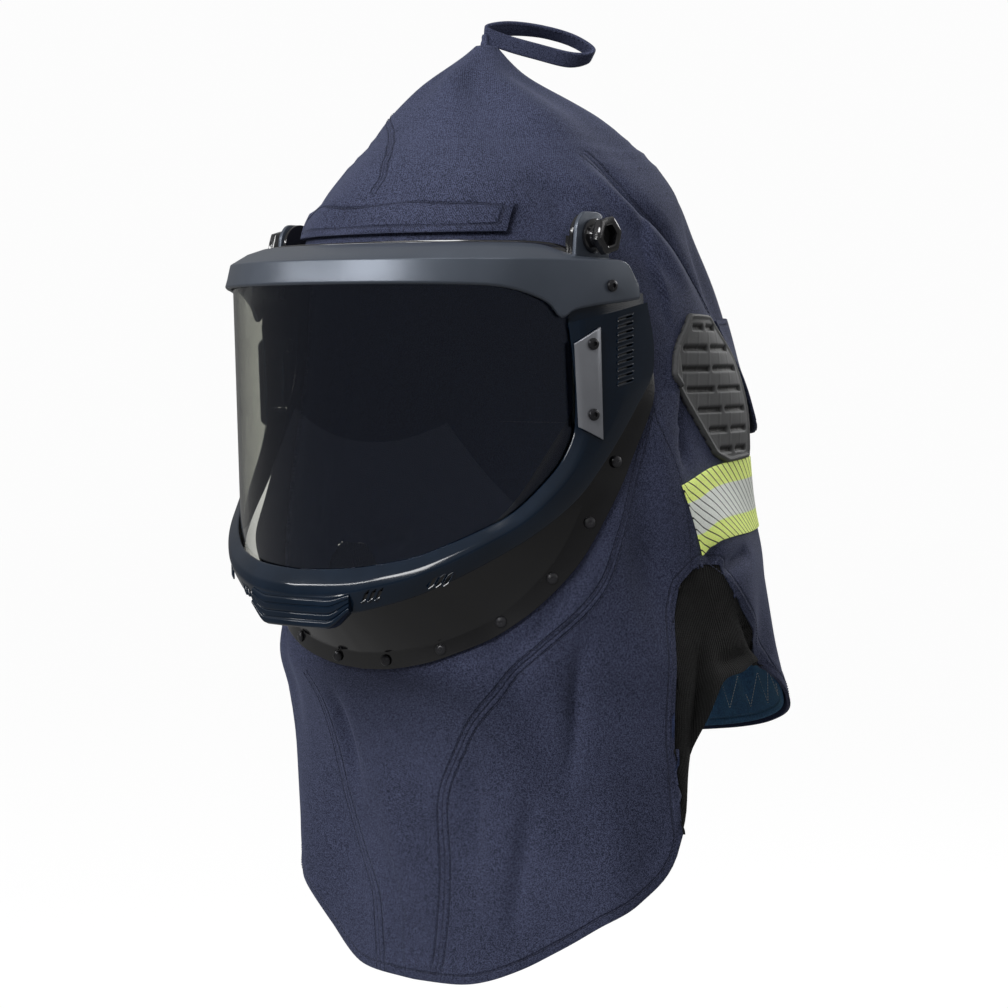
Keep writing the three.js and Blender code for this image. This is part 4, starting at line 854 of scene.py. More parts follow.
# Materials

class Tree:
    """A node tree with short calls that add nodes and join their sockets."""

    def __init__(self, tree):
        self.tree = tree

    def node(self, kind, inputs=None, **settings):
        made = self.tree.nodes.new(kind)
        for key, value in settings.items():
            setattr(made, key, value)
        self.settle(made, inputs or {})
        return made

    def put(self, socket, value):
        if isinstance(value, bpy.types.NodeSocket):
            self.tree.links.new(value, socket)
        else:
            socket.default_value = value

    def math(self, operation, a, b=0.0, clamp=False):
        made = self.node("ShaderNodeMath", {0: a, 1: b}, operation=operation, use_clamp=clamp)
        return made.outputs[0]

    def mul(self, a, b):
        return self.math("MULTIPLY", a, b)

    def add(self, a, b):
        return self.math("ADD", a, b)

    def sub(self, a, b):
        return self.math("SUBTRACT", a, b)

    def most(self, a, b):
        return self.math("MAXIMUM", a, b)

    def blend(self, share, a, b):
        made = self.node("ShaderNodeMix", data_type="RGBA")
        self.put(made.inputs[0], share)
        self.put(made.inputs[6], a)
        self.put(made.inputs[7], b)
        return made.outputs[2]

    def ramp(self, value, low, high, start=0.0, end=1.0):
        ends = {"From Min": low, "From Max": high, "To Min": start, "To Max": end}
        made = self.node("ShaderNodeMapRange", {"Value": value, **ends}, interpolation_type="SMOOTHSTEP")
        return made.outputs["Result"]

    def pattern(self):
        """The two parts of the piece's own flat pattern."""
        flat = self.node("ShaderNodeUVMap").outputs["UV"]
        return self.node("ShaderNodeSeparateXYZ", {"Vector": flat}).outputs

    def settle(self, shader, values):
        """Gives the named sockets of a shader their values or their links."""
        for key, value in values.items():
            self.put(shader.inputs[key], value)

    def group(self, name, **inputs):
        return self.node("ShaderNodeGroup", inputs, node_tree=shared_group(name))

    def attribute(self, name):
        return self.node("ShaderNodeAttribute", attribute_name=name).outputs["Fac"]

    def noise(self, vector, scale, detail=2.0, roughness=0.5):
        made = self.node("ShaderNodeTexNoise", {"Vector": vector, "Scale": scale, "Detail": detail,
                                                "Roughness": roughness})
        return made.outputs["Fac"]


def node_group(name, inputs, outputs):
    """A shader node group with named float, vector or colour sockets, and its tree."""
    group = bpy.data.node_groups.new(name, "ShaderNodeTree")
    kinds = {"f": "NodeSocketFloat", "v": "NodeSocketVector", "c": "NodeSocketColor"}
    for label, kind, default in inputs:
        socket = group.interface.new_socket(name=label, in_out="INPUT", socket_type=kinds[kind])
        if default is not None:
            socket.default_value = default
    for label, kind in outputs:
        group.interface.new_socket(name=label, in_out="OUTPUT", socket_type=kinds[kind])
    tree = Tree(group)
    return group, tree, tree.node("NodeGroupInput").outputs, tree.node("NodeGroupOutput")


def make_weave_group():
    """Twill weave with heathered yarns."""
    group, tree, inputs, end = node_group(
        "Heather weave",
        [("Vector", "v", None), ("Yarn", "f", 0.0009), ("Mottle", "f", 0.5)],
        [("Speckle", "f"), ("Shade", "f"), ("Height", "f")],
    )
    scale = tree.math("DIVIDE", 1.0, inputs["Yarn"])
    fine = tree.noise(inputs["Vector"], scale, 1.0, 0.6)
    coarse = tree.noise(inputs["Vector"], tree.mul(scale, 0.6), 2.0, 0.6)
    broad = tree.noise(inputs["Vector"], 14.0, 2.0, 0.5)
    slub = tree.noise(inputs["Vector"], 60.0, 3.0, 0.6)
    flat = tree.pattern()
    run = tree.mul(tree.add(flat["X"], tree.mul(flat["Y"], 0.8)), 3.6)
    twill = tree.math("SINE", tree.add(tree.mul(run, scale),
                                        tree.mul(coarse, 5.0)))
    both = tree.add(tree.mul(fine, 0.75), tree.mul(coarse, 0.25))
    both = tree.add(both, tree.mul(twill, 0.05))
    tree.put(end.inputs["Speckle"], tree.ramp(both, 0.38, 0.64))
    shade = tree.add(tree.mul(broad, 0.8), tree.mul(slub, 0.2))
    tree.put(end.inputs["Shade"], tree.mul(tree.ramp(shade, 0.3, 0.7), inputs["Mottle"]))
    tree.put(end.inputs["Height"], both)
    return group


def make_seam_group():
    """A groove along both sides of a seam and the puckers it pulls in the cloth."""
    group, tree, inputs, end = node_group(
        "Sewn seam",
        [("Vector", "v", None), ("Distance", "f", 1.0), ("Half", "f", 3.0), ("Mask", "f", 1.0)],
        [("Groove", "f"), ("Pucker", "f")],
    )
    away = tree.math("ABSOLUTE", inputs["Distance"])
    row = tree.math("ABSOLUTE", tree.sub(away, inputs["Half"]))
    groove = tree.ramp(row, 0.1, 1.0, 1.0, 0.0)
    middle = tree.ramp(away, 0.0, 0.9, 1.0, 0.0)
    both = tree.most(groove, tree.mul(middle, 0.8))
    tree.put(end.inputs["Groove"], tree.mul(both, inputs["Mask"]))
    near = tree.ramp(away, 3.0, 14.0, 1.0, 0.0)
    ripple = tree.noise(inputs["Vector"], 150.0, 1.0, 0.4)
    tree.put(end.inputs["Pucker"], tree.mul(tree.mul(ripple, near), inputs["Mask"]))
    return group


def make_grain_group():
    """Moulded grain and small scuffs of a plastic or metal face."""
    group, tree, inputs, end = node_group(
        "Moulded grain",
        [("Vector", "v", None), ("Size", "f", 0.0006), ("Scuffs", "f", 0.5)],
        [("Height", "f"), ("Scuff", "f"), ("Cloud", "f")],
    )
    scale = tree.math("DIVIDE", 1.0, inputs["Size"])
    tree.put(end.inputs["Height"], tree.noise(inputs["Vector"], scale, 1.0, 0.5))
    scratch = tree.noise(inputs["Vector"], 260.0, 4.0, 0.75)
    tree.put(end.inputs["Scuff"], tree.mul(tree.ramp(scratch, 0.62, 0.74), inputs["Scuffs"]))
    tree.put(end.inputs["Cloud"], tree.noise(inputs["Vector"], 22.0, 3.0, 0.6))
    return group


GROUPS = {}


def rgba(colour, share=1.0, lift=0.0):
    """A colour made darker or lighter, with its alpha."""
    return (*(min(1, c * share + lift) for c in colour), 1)


def shared_group(name):
    makers = {"weave": make_weave_group, "seam": make_seam_group, "grain": make_grain_group}
    if name not in GROUPS:
        GROUPS[name] = makers[name]()
    return GROUPS[name]


def new_material(name):
    """An empty Principled material, its tree, its shader and the Object coordinates."""
    material = bpy.data.materials.new(name)
    material.use_nodes = True
    tree = Tree(material.node_tree)
    shader = material.node_tree.nodes["Principled BSDF"]
    place = tree.node("ShaderNodeTexCoord").outputs["Object"]
    return material, tree, shader, place


def bump(tree, shader, height, distance, strength=1.0, under=None):
    inputs = {"Height": height, "Distance": distance, "Strength": strength}
    if under is not None:
        inputs["Normal"] = under
    made = tree.node("ShaderNodeBump", inputs)
    tree.put(shader.inputs["Normal"], made.outputs["Normal"])
    return made.outputs["Normal"]


def cloth_material(name, dark, light, yarn=0.0009, sewn=False, edge=0.0, sheen=0.1, roughness=0.85):
    """Heathered woven cloth, with the seams and the hem of the piece where it has them, their grooves
    darkened by painted shade.
    """
    material, tree, shader, place = new_material(name)
    weave = tree.group("weave", Vector=place, Yarn=yarn, Mottle=0.5)
    colour = tree.blend(weave.outputs["Speckle"], rgba(dark), rgba(light))
    mottle_and_groove_shade = tree.blend(tree.mul(weave.outputs["Shade"], 0.3), colour, rgba(light, 1.2))
    groove = pucker = 0.0
    if edge:
        row = tree.math("ABSOLUTE", tree.sub(tree.attribute("rim"), edge))
        groove = tree.ramp(row, 0.2, 1.4, 1.0, 0.0)
    for key in ("front", "crown") if sewn else ():
        half = 3.0 if key == "front" else tree.attribute("crown_half")
        seam = tree.group("seam", Vector=place, Distance=tree.attribute(key), Half=half,
                          Mask=tree.attribute(key + "_mask"))
        groove = tree.most(groove, seam.outputs["Groove"])
        pucker = tree.most(pucker, seam.outputs["Pucker"])
    under = None
    if sewn or edge:
        # Seam and hem grooves are darkened in colour as well as sunk by the bump: painted shade in the
        # grooves.
        mottle_and_groove_shade = tree.blend(tree.mul(groove, 0.35), mottle_and_groove_shade, rgba(dark, 0.4))
        under = bump(tree, shader, tree.sub(tree.mul(pucker, 0.9), groove), 0.0009, 0.7)
    bump(tree, shader, weave.outputs["Height"], 0.0005, 0.75, under)
    tree.settle(shader, {
        "Base Color": mottle_and_groove_shade, "Roughness": roughness, "Sheen Weight": sheen, "Sheen Roughness": 0.45,
        "Sheen Tint": rgba(light, 9), "Specular IOR Level": 0.25,
    })
    return material


def knit_material(name, colour):
    """Ribbed knit whose ribs run up the piece's own flat pattern, lighter on its raised ribs by a painted
    highlight.
    """
    material, tree, shader, place = new_material(name)
    flat = tree.pattern()
    wander = tree.mul(tree.noise(place, 90.0, 2.0), 0.0012)
    ribs = tree.math("SINE", tree.mul(tree.add(flat["X"], wander), 4200.0))
    loops = tree.math("SINE", tree.mul(flat["Y"], 5200.0))
    fuzz = tree.noise(place, 1400.0, 2.0, 0.7)
    height = tree.add(tree.mul(ribs, 0.5), tree.mul(loops, 0.2))
    height = tree.add(height, fuzz)
    cloud = tree.ramp(tree.noise(place, 45.0, 3.0), 0.35, 0.7)
    # The colour lightens where the ribs, loops and fuzz stand up: a painted highlight on the raised knit,
    # spread by a random cloud.
    lift = tree.mul(tree.ramp(height, 0.1, 1.3), tree.add(cloud, 0.35))
    bump(tree, shader, height, 0.0006, 0.8)
    tree.settle(shader, {
        "Base Color": tree.blend(lift, rgba(colour), rgba(colour, 3, 0.004)), "Roughness": 0.92,
        "Sheen Weight": 0.04, "Sheen Roughness": 0.4, "Specular IOR Level": 0.2,
    })
    return material


def tape_material(name, lime, silver):
    """Bright tape with a silver middle, crossed by thin slanted breaks, that glows faintly as painted light.
    It reads the piece's own pattern.
    """
    material, tree, shader, place = new_material(name)
    flat = tree.pattern()
    length, across = flat["X"], flat["Y"]
    middle = tree.math("ABSOLUTE", tree.sub(across, 0.5))
    bright = tree.ramp(middle, 0.215, 0.235)
    weave = tree.group("weave", Vector=place, Yarn=0.0007, Mottle=0.4)
    speck = weave.outputs["Speckle"]
    green = tree.blend(speck, rgba(lime, 0.78), rgba(lime))
    grey = tree.blend(speck, rgba(silver, 0.86), rgba(silver))
    colour = tree.blend(bright, grey, green)
    bend = tree.mul(tree.math("SINE", tree.mul(across, 3.14159)), 0.004)
    slant = tree.mul(across, 0.046)
    run = tree.add(tree.add(length, slant), bend)
    turn = tree.math("FRACT", tree.math("DIVIDE", run, 0.0078))
    gap = tree.math("ABSOLUTE", tree.sub(turn, 0.5))
    cut = tree.ramp(gap, 0.07, 0.1, 1.0, 0.0)
    crossed = tree.blend(cut, colour, (0.008, 0.009, 0.012, 1))
    # Emission of the tape's own colour: a painted glow that brightens the tape though it is no lamp.
    tree.settle(shader, {
        "Base Color": crossed, "Emission Color": crossed, "Emission Strength": 0.16,
        "Metallic": tree.mul(tree.sub(1.0, bright), 0.35),
        "Roughness": tree.ramp(bright, 0.0, 1.0, 0.42, 0.7),
    })
    bump(tree, shader, tree.sub(weave.outputs["Height"], tree.mul(cut, 0.6)), 0.0005, 0.5)
    return material


def hard_material(name, colour, roughness, metallic=0.0, grain=0.0006, depth=0.00004, coat=0.0, lift=1.35,
                  scuffs=0.4, hollow=None, specular=0.5):
    """Moulded plastic, rubber or metal with fine grain, slow colour drift and light scuffs, and painted shade
    in its hollows where a hollow attribute is given.
    """
    material, tree, shader, place = new_material(name)
    made = tree.group("grain", Vector=place, Size=grain, Scuffs=scuffs)
    drift = tree.ramp(made.outputs["Cloud"], 0.3, 0.7)
    base = tree.blend(drift, rgba(colour), rgba(colour, lift))
    base = tree.blend(tree.mul(made.outputs["Scuff"], 0.5), base, rgba(colour, 2.2, 0.01))
    # The hollow attribute turns the colour near black: painted shade in the slots.
    if hollow:
        base = tree.blend(tree.attribute(hollow), base, (0.002, 0.002, 0.002, 1))
    rough = tree.add(tree.mul(made.outputs["Scuff"], 0.14),
                      tree.mul(tree.sub(drift, 0.5), 0.05))
    tree.settle(shader, {
        "Base Color": base, "Roughness": tree.math("ADD", rough, roughness, clamp=True), "Metallic": metallic,
        "Coat Weight": coat, "Coat Roughness": 0.06, "Specular IOR Level": specular,
    })
    bump(tree, shader, made.outputs["Height"], depth, 0.8)
    return material


def glass_material(name, tint):
    """Clear tinted sheet with faint smears."""
    material, tree, shader, place = new_material(name)
    smear = tree.ramp(tree.noise(place, 30.0, 4.0, 0.65), 0.55, 0.8)
    tree.settle(shader, {
        "Roughness": tree.mul(smear, 0.03), "Base Color": rgba(tint), "Transmission Weight": 1.0,
        "Specular Tint": (0.62, 0.7, 1, 1), "IOR": 1.6,
    })
    return material


FINISHES = {}


def finish(name):
    """The material of a part of the hood, made from the colours of the panel the first time it is used."""
    if name in FINISHES:
        return FINISHES[name]
    cloth, visor = bpy.context.scene.hood_cloth, bpy.context.scene.hood_visor
    navy, heather = tuple(cloth.navy), tuple(cloth.heather)
    makers = {
        "cloth": lambda: cloth_material("navy_twill", navy, heather, cloth.yarn, sewn=True, edge=6.0),
        # The inside cloth is a darker copy of the navy cloth: painted shade inside the hood.
        "inside": lambda: cloth_material("navy_inside_shaded", (0.007, 0.011, 0.032), (0.02, 0.032, 0.08),
                                         cloth.yarn,
                                         sheen=0.05),
        "trim": lambda: cloth_material("navy_trim", navy, heather, cloth.yarn, edge=4.0),
        "strap": lambda: cloth_material("navy_strap", navy, heather, cloth.yarn * 0.8),
        "knit": lambda: knit_material("black_knit", tuple(cloth.knit)),
        "lining": lambda: cloth_material("blue_lining", rgba(cloth.lining, 0.6)[:3], tuple(cloth.lining),
                                         0.0011,
                                         edge=5.0, sheen=0.15),
        "thread": lambda: cloth_material("navy_thread", rgba(navy, 0.55)[:3], rgba(heather, 0.8)[:3], 0.0006,
                                         roughness=0.6),
        "white thread": lambda: cloth_material("white_thread", (0.5, 0.5, 0.5), (0.75, 0.76, 0.78), 0.0006),
        "tape": lambda: tape_material("safety_tape", tuple(cloth.lime), tuple(cloth.silver)),
        "frame": lambda: hard_material("black_frame", tuple(visor.frame), 0.14, coat=0.3, scuffs=0.3),
        "vent": lambda: hard_material("vent_rubber", tuple(visor.rubber), 0.62, grain=0.0008, depth=0.00012,
                                      hollow="hollow", lift=1.25),
        "steel": lambda: hard_material("dark_steel", (0.03, 0.03, 0.033), 0.33, metallic=0.75, grain=0.0004,
                                       depth=0.00003),
        "rivet": lambda: hard_material("rivet_black", (0.028, 0.028, 0.032), 0.36, metallic=0.35,
                                       grain=0.0007,
                                       depth=0.00006),
        "brow": lambda: hard_material("brow_satin", tuple(visor.brow), 0.36, metallic=0.35, grain=0.00045,
                                      depth=0.00005, lift=1.12, scuffs=0.25),
        "navy": lambda: hard_material("visor_gloss", tuple(visor.navy), 0.14, grain=0.0005, depth=0.00001,
                                      scuffs=0.25, specular=0.42),
        "plate": lambda: hard_material("plate_satin", tuple(visor.plate), 0.32, metallic=0.75, grain=0.00045,
                                       depth=0.00005, lift=1.12, scuffs=0.3),
        "knob": lambda: hard_material("knob_gloss", (0.006, 0.006, 0.007), 0.14, coat=0.4, grain=0.0012,
                                      depth=0.00003),
        "lens": lambda: glass_material("tinted_lens", tuple(visor.tint)),
    }
    FINISHES[name] = makers[name]()
    return FINISHES[name]


# Repeated pieces by Geometry Nodes

class Scatter(Tree):
    """A Geometry Nodes tree with named inputs that ends in real geometry with a material."""

    def __init__(self, name, sizes):
        tree = bpy.data.node_groups.new(name, "GeometryNodeTree")
        super().__init__(tree)
        self.ids = {}
        entries = [("Geometry", "NodeSocketGeometry"), *((label, "NodeSocketFloat") for label in sizes),
                   ("Template", "NodeSocketObject"), ("Material", "NodeSocketMaterial")]
        for label, kind in entries:
            socket = tree.interface.new_socket(name=label, in_out="INPUT", socket_type=kind)
            self.ids[label] = socket.identifier
        tree.interface.new_socket(name="Geometry", in_out="OUTPUT", socket_type="NodeSocketGeometry")
        self.inputs = self.node("NodeGroupInput").outputs
        self.end = self.node("NodeGroupOutput")

    def close(self, geometry):
        real = self.node("GeometryNodeRealizeInstances", {"Geometry": geometry}).outputs["Geometry"]
        done = self.node("GeometryNodeSetMaterial", {"Geometry": real, "Material": self.inputs["Material"]})
        self.put(self.end.inputs["Geometry"], done.outputs["Geometry"])
        return self

    def run(self, obj, **values):
        """Puts the tree on an object and turns the result into its plain mesh."""
        modifier = obj.modifiers.new(self.tree.name, "NODES")
        modifier.node_group = self.tree
        for label, value in values.items():
            modifier[self.ids[label.replace("_", " ")]] = value
        return baked(obj)


def stitch_tree():
    """Stitches laid end to end along every line of the mesh."""
    tree = Scatter("Stitches", ("Pitch", "Length", "Width"))
    curve = tree.node("GeometryNodeMeshToCurve", {"Mesh": tree.inputs["Geometry"]}).outputs["Curve"]
    even = tree.node("GeometryNodeResampleCurve", {"Curve": curve, "Length": tree.inputs["Pitch"]},
                     mode="LENGTH")
    heading = tree.node("GeometryNodeInputTangent").outputs["Tangent"]
    turn = tree.node("FunctionNodeAlignRotationToVector", {"Vector": heading}, axis="X").outputs["Rotation"]
    bead = tree.node("GeometryNodeMeshUVSphere", {"Segments": 6, "Rings": 4, "Radius": 0.5}).outputs["Mesh"]
    size = tree.node("ShaderNodeCombineXYZ", {"X": tree.inputs["Length"], "Y": tree.inputs["Width"],
                                             "Z": tree.inputs["Width"]}).outputs["Vector"]
    spread = tree.node("GeometryNodeInstanceOnPoints", {"Points": even.outputs["Curve"], "Instance": bead,
                                                       "Rotation": turn, "Scale": size}).outputs["Instances"]
    return tree.close(spread)


def fastener_tree():
    """A copy of the template on every point, with its Z along the point's axis and its Y along its lift."""
    tree = Scatter("Fasteners", ("Size",))
    shape = tree.node("GeometryNodeObjectInfo", {"Object": tree.inputs["Template"]}).outputs["Geometry"]
    axis, lift = (tree.node("GeometryNodeInputNamedAttribute", {"Name": name}, data_type="FLOAT_VECTOR")
                  .outputs["Attribute"] for name in ("axis", "lift"))
    first = tree.node("FunctionNodeAlignRotationToVector", {"Vector": axis}, axis="Z").outputs["Rotation"]
    turn = tree.node("FunctionNodeAlignRotationToVector", {"Rotation": first, "Vector": lift}, axis="Y",
                     pivot_axis="Z").outputs["Rotation"]
    spread = tree.node("GeometryNodeInstanceOnPoints", {"Points": tree.inputs["Geometry"], "Instance": shape,
                                                       "Rotation": turn, "Scale": tree.inputs["Size"]})
    return tree.close(spread.outputs["Instances"])


def sew(name, lines, body, thread="thread", pitch=None, length=None, width=None):
    """Stitches along lines of points in millimetres, as one piece on a body."""
    cloth = bpy.context.scene.hood_cloth
    points = np.concatenate(lines)
    starts = np.cumsum([0] + [len(line) for line in lines])
    edges = [(k, k + 1) for start, end in zip(starts[:-1], starts[1:]) for k in range(start, end - 1)]
    obj = mesh_object(name, points, [], edges)
    tree = stitch_tree()
    tree.run(obj, Pitch=pitch or cloth.stitch_pitch, Length=length or cloth.stitch_length,
             Width=width or cloth.stitch_width, Material=finish(thread))
    shade_smooth(obj)
    return finish_piece(obj, body, finish(thread))


def placed(name, template, spots, axes, lifts, material):
    """Copies of a template on spots in millimetres, as one mesh."""
    obj = mesh_object(name, spots, [], axis=np.asarray(axes), lift=np.asarray(lifts))
    fastener_tree().run(obj, Size=1.0, Template=template, Material=material)
    bpy.data.objects.remove(template)
    obj.data.set_sharp_from_angle(angle=math.radians(SCREW_SMOOTH))
    return obj


def seat_of(node):
    """The foot and the axis of a turned piece of the frame, in millimetres."""
    mesh = frame["nodes"][node].data
    points = np.zeros(len(mesh.vertices) * 3)
    mesh.vertices.foreach_get("co", points)
    points = points.reshape(-1, 3) * 1000
    low, high = (np.array(corner) * 1000 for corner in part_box(node))
    centre = (low + high) / 2
    spread = np.linalg.svd(np.unique(points.round(3), axis=0) - points.mean(0))[2]
    lengths = [np.ptp(points @ way) for way in spread]
    axis = spread[int(np.argmin(lengths))]
    outward = centre * (1, 1, 0) - np.array((0, 40, 0))
    axis = axis * (1 if axis @ outward > 0 else -1)
    run = points @ axis
    return centre + axis * (run.min() - centre @ axis), axis


# Panel values

def colour_property(name, description, default):
    return FloatVectorProperty(name=name, description=description, default=default, size=3, min=0, max=1,
                               subtype="COLOR")


def length_property(name, description, millimetres):
    return FloatProperty(name=name, description=description, default=millimetres / 1000, min=0, unit="LENGTH",
                         precision=4)


class HoodCloth(bpy.types.PropertyGroup):
    columns: IntProperty(name="Columns", description="Points round the cloth", default=288, min=96, max=400)
    rows: IntProperty(name="Rows", description="Points from crown to hem", default=150, min=60, max=260)
    yarn: length_property("Yarn", "Width of the cloth's yarns", 0.75)
    stitch_pitch: length_property("Stitch pitch", "Distance from one stitch to the next", 3.4)
    stitch_length: length_property("Stitch length", "Length of one stitch", 2.7)
    stitch_width: length_property("Thread", "Thickness of the sewing thread", 0.7)
    navy: colour_property("Navy", "Dark yarns of the cloth", (0.006, 0.0085, 0.022))
    heather: colour_property("Heather", "Light yarns of the cloth", (0.062, 0.071, 0.13))
    knit: colour_property("Knit", "Black knit of the gussets", (0.004, 0.004, 0.004))
    lining: colour_property("Lining", "Blue lining at the back", (0.05, 0.13, 0.26))
    lime: colour_property("Lime", "Bright edges of the tape", (0.84, 0.98, 0.26))
    silver: colour_property("Silver", "Middle of the tape", (0.74, 0.77, 0.72))


class HoodVisor(bpy.types.PropertyGroup):
    tint: colour_property("Tint", "Colour of the lens", (0.57, 0.58, 0.55))
    brow: colour_property("Brow", "Satin blue-grey of the brow", (0.062, 0.074, 0.096))
    navy: colour_property("Lower frame", "Gloss of the lower frame", (0.002, 0.007, 0.016))
    plate: colour_property("Side plate", "Satin of the side plates", (0.3, 0.31, 0.34))
    frame: colour_property("Face frame", "Gloss of the face frame", (0.006, 0.006, 0.007))
    rubber: colour_property("Vent rubber", "Rubber of the vent covers", (0.05, 0.051, 0.053))


class HoodStage(bpy.types.PropertyGroup):
    drop: length_property("Floor drop", "Depth of the floor below the hem", 420)
    pale: colour_property("Backdrop", "Floor and surroundings", (0.93, 0.93, 0.93))
    fill: FloatProperty(name="Fill", description="Strength of the light from all round", default=0.3, min=0)
    key: FloatProperty(name="Key", description="Power of the main softbox", default=50, min=0, unit="POWER")


# The cloth

def hood_grid(columns, rows):
    """Angles and heights of an even grid over the hood, rows from the crown to the hem."""
    probe = np.linspace(0, np.pi, 721)
    share = np.linspace(0, 1, rows)
    angles = []
    for z in mix(CROWN_RISE, -0.86 * HOOD_DROP, share ** 1.1):
        line = cloth_skin(probe, np.full_like(probe, z))
        walked = np.concatenate(([0], np.cumsum(np.linalg.norm(np.diff(line, axis=0), axis=1))))
        half = np.interp(np.linspace(0, walked[-1], columns // 2 + 1), walked, probe)
        angles.append(np.concatenate((half, -half[-2:0:-1])))
    angles = np.array(angles)
    heights = mix(CROWN_RISE, hem_height(angles), share[:, None] ** 1.1)
    return angles.ravel(), heights.ravel()


def hem_slope(angle):
    step = 0.01
    rise = (hem_height(angle + step) - hem_height(angle - step)) / (2 * step)
    return rise / (HOOD_WIDTH / 2)


def seam_values(seams, angle, z):
    """Signed distance from the nearest seam, whether it is beside it, and the seam's half width."""
    flat = unrolled((np.degrees(angle) + 540) % 360 - 180, z)
    best = np.full(len(flat), 99.0)
    mask = np.zeros(len(flat))
    width = np.zeros(len(flat))
    for half, line in seams:
        line = softened(line, 4)
        turns = [0, -360] if line[0, 0] >= 180 else [0]
        for shift in turns:
            distance, share = to_line(flat, unrolled(line[:, 0] + shift, line[:, 1]))
            nearer = abs(distance) < abs(best)
            best = np.where(nearer, distance, best)
            beside = (share > 0.002) & (share < 0.998) & (abs(distance) < 22)
            mask = np.where(nearer, beside, mask)
            width = np.where(nearer, half, width)
    return best, mask, width


def build_shell():
    """The hood's outer cloth and the two knit gussets, from one grid."""
    size = bpy.context.scene.hood_cloth
    columns, rows = size.columns, size.rows
    angle, z = hood_grid(columns, rows)
    skin = cloth_point(angle, z)
    faces = grid_faces(rows, columns, wrap=True)
    front = skin[:, 1] < cloth_section(z)[1]
    inside, near = to_outline(skin[:, ::2], WINDOW_OUTLINE)
    inside = np.where(front, inside, -99)
    snap = abs(inside) < WINDOW_SNAP
    angle[snap] = front_angle(near[snap, 0], near[snap, 1])
    z[snap] = near[snap, 1]
    state = np.where(snap, 0, np.sign(inside))
    gusset_state = {}
    for name, sign in (("left", 1), ("right", -1)):
        beside, near = to_outline(skin[:, 1:], GUSSET_OUTLINE)
        beside = np.where(skin[:, 0] * sign > HOOD_WIDTH / 4, beside, -99)
        snap = abs(beside) < GUSSET_SNAP
        angle[snap] = sign * side_angle(near[snap, 0], near[snap, 1])
        z[snap] = near[snap, 1]
        gusset_state[name] = np.where(snap, 0, np.sign(beside))
    z = np.maximum(z, hem_height(angle))
    skin = cloth_point(angle, z)
    low = z - hem_height(angle)
    hem = low / np.sqrt(1 + hem_slope(angle) ** 2)
    side_gap = abs(to_outline(skin[:, 1:], GUSSET_OUTLINE)[0])
    side_gap = np.where(abs(skin[:, 0]) > HOOD_WIDTH / 4, side_gap, 99)
    folded = 0.9 * (1 - smooth((hem - 10) / 4))
    points = soft_point(angle, z, folded)
    flat = unrolled((np.degrees(angle) + 540) % 360 - 180, z) / 1000
    front_line, front_mask, _ = seam_values(FRONT_SEAMS, angle, z)
    crown_line, crown_mask, crown_half = seam_values(CROWN_SEAMS, angle, z)
    middle = skin[faces].mean(1)
    cut = (state[faces] > 0).any(1)
    flush = (state[faces] == 0).all(1)
    cut |= flush & (to_outline(middle[:, ::2], WINDOW_OUTLINE)[0] > 0) & (middle[:, 1] < 60)
    pieces = {}
    taken = cut.copy()
    for name, part in gusset_state.items():
        chosen = (part[faces] > 0).any(1) & ~cut
        chosen |= (part[faces] == 0).all(1) & (to_outline(middle[:, 1:], GUSSET_OUTLINE)[0] > 0) & ~cut
        taken |= chosen
        pieces[name] = chosen
    tip = len(points)
    apex = np.array([[0, cloth_section(np.float64(CROWN_RISE))[1], CROWN_RISE + 1.0]])
    points = np.concatenate((points, apex))
    cap = [(j, tip, (j + 1) % columns) for j in range(columns)]
    pad = lambda values, last=0.0: np.append(values, last)
    shell = mesh_object(
        "hood_cloth", points, [*faces[~taken], *cap], uv=np.vstack((flat, flat[:1])),
        front=pad(front_line, 99), front_mask=pad(front_mask), crown=pad(crown_line, 99),
        crown_mask=pad(crown_mask), crown_half=pad(crown_half), rim=pad(np.minimum(hem, side_gap), 99),
    )
    remove_loose(shell)
    face_out(shell, (0, 60, -250))
    gussets = {}
    for name, chosen in pieces.items():
        sunk = soft_point(angle, z, -GUSSET_SINK + 1.3 * (1 - smooth((hem - 3) / 5)))
        obj = mesh_object(f"gusset_cloth_{name}", sunk, faces[chosen], uv=flat)
        remove_loose(obj)
        face_out(obj, (0, 60, -350))
        gussets[name] = obj
    return shell, gussets


def remove_loose(obj):
    """Deletes the points that no face uses and sets smooth shading."""
    with edited(obj) as mesh:
        bmesh.ops.delete(mesh, geom=[v for v in mesh.verts if not v.link_faces], context="VERTS")
    shade_smooth(obj)


def laid_patch(name, outline, step, place, offset, thickness, **more):
    """A sheet with an outline, laid on the cloth by a function of its two coordinates."""
    flat, faces, inside = patch(outline, step)
    angle, z = place(flat[:, 0], flat[:, 1])
    lift = offset(flat, inside) if callable(offset) else np.full(len(flat), offset)
    obj = mesh_object(name, soft_point(angle, z, lift), faces, uv=flat / 1000, rim=inside, **more)
    tidy_mesh(obj)
    face_out(obj, (0, 60, -200))
    cut = cut_of(obj)
    thicken(obj, thickness)
    return obj, cut


def foot_of_flap():
    return BROW_Z + FLANGE_WIDTH * WINDOW["flange"][0] + FRAME_WALL + GAP


def forehead_outline():
    top = softened(np.stack([FLAP_TOP["across"] * FOREHEAD_FLAP_HALF,
                             foot_of_flap() + FLAP_TOP["rise"] * FOREHEAD_FLAP_HEIGHT], 1), 5)
    foot = np.array([[-FOREHEAD_FLAP_HALF, foot_of_flap()], [FOREHEAD_FLAP_HALF, foot_of_flap()]])
    return np.concatenate((foot, top))


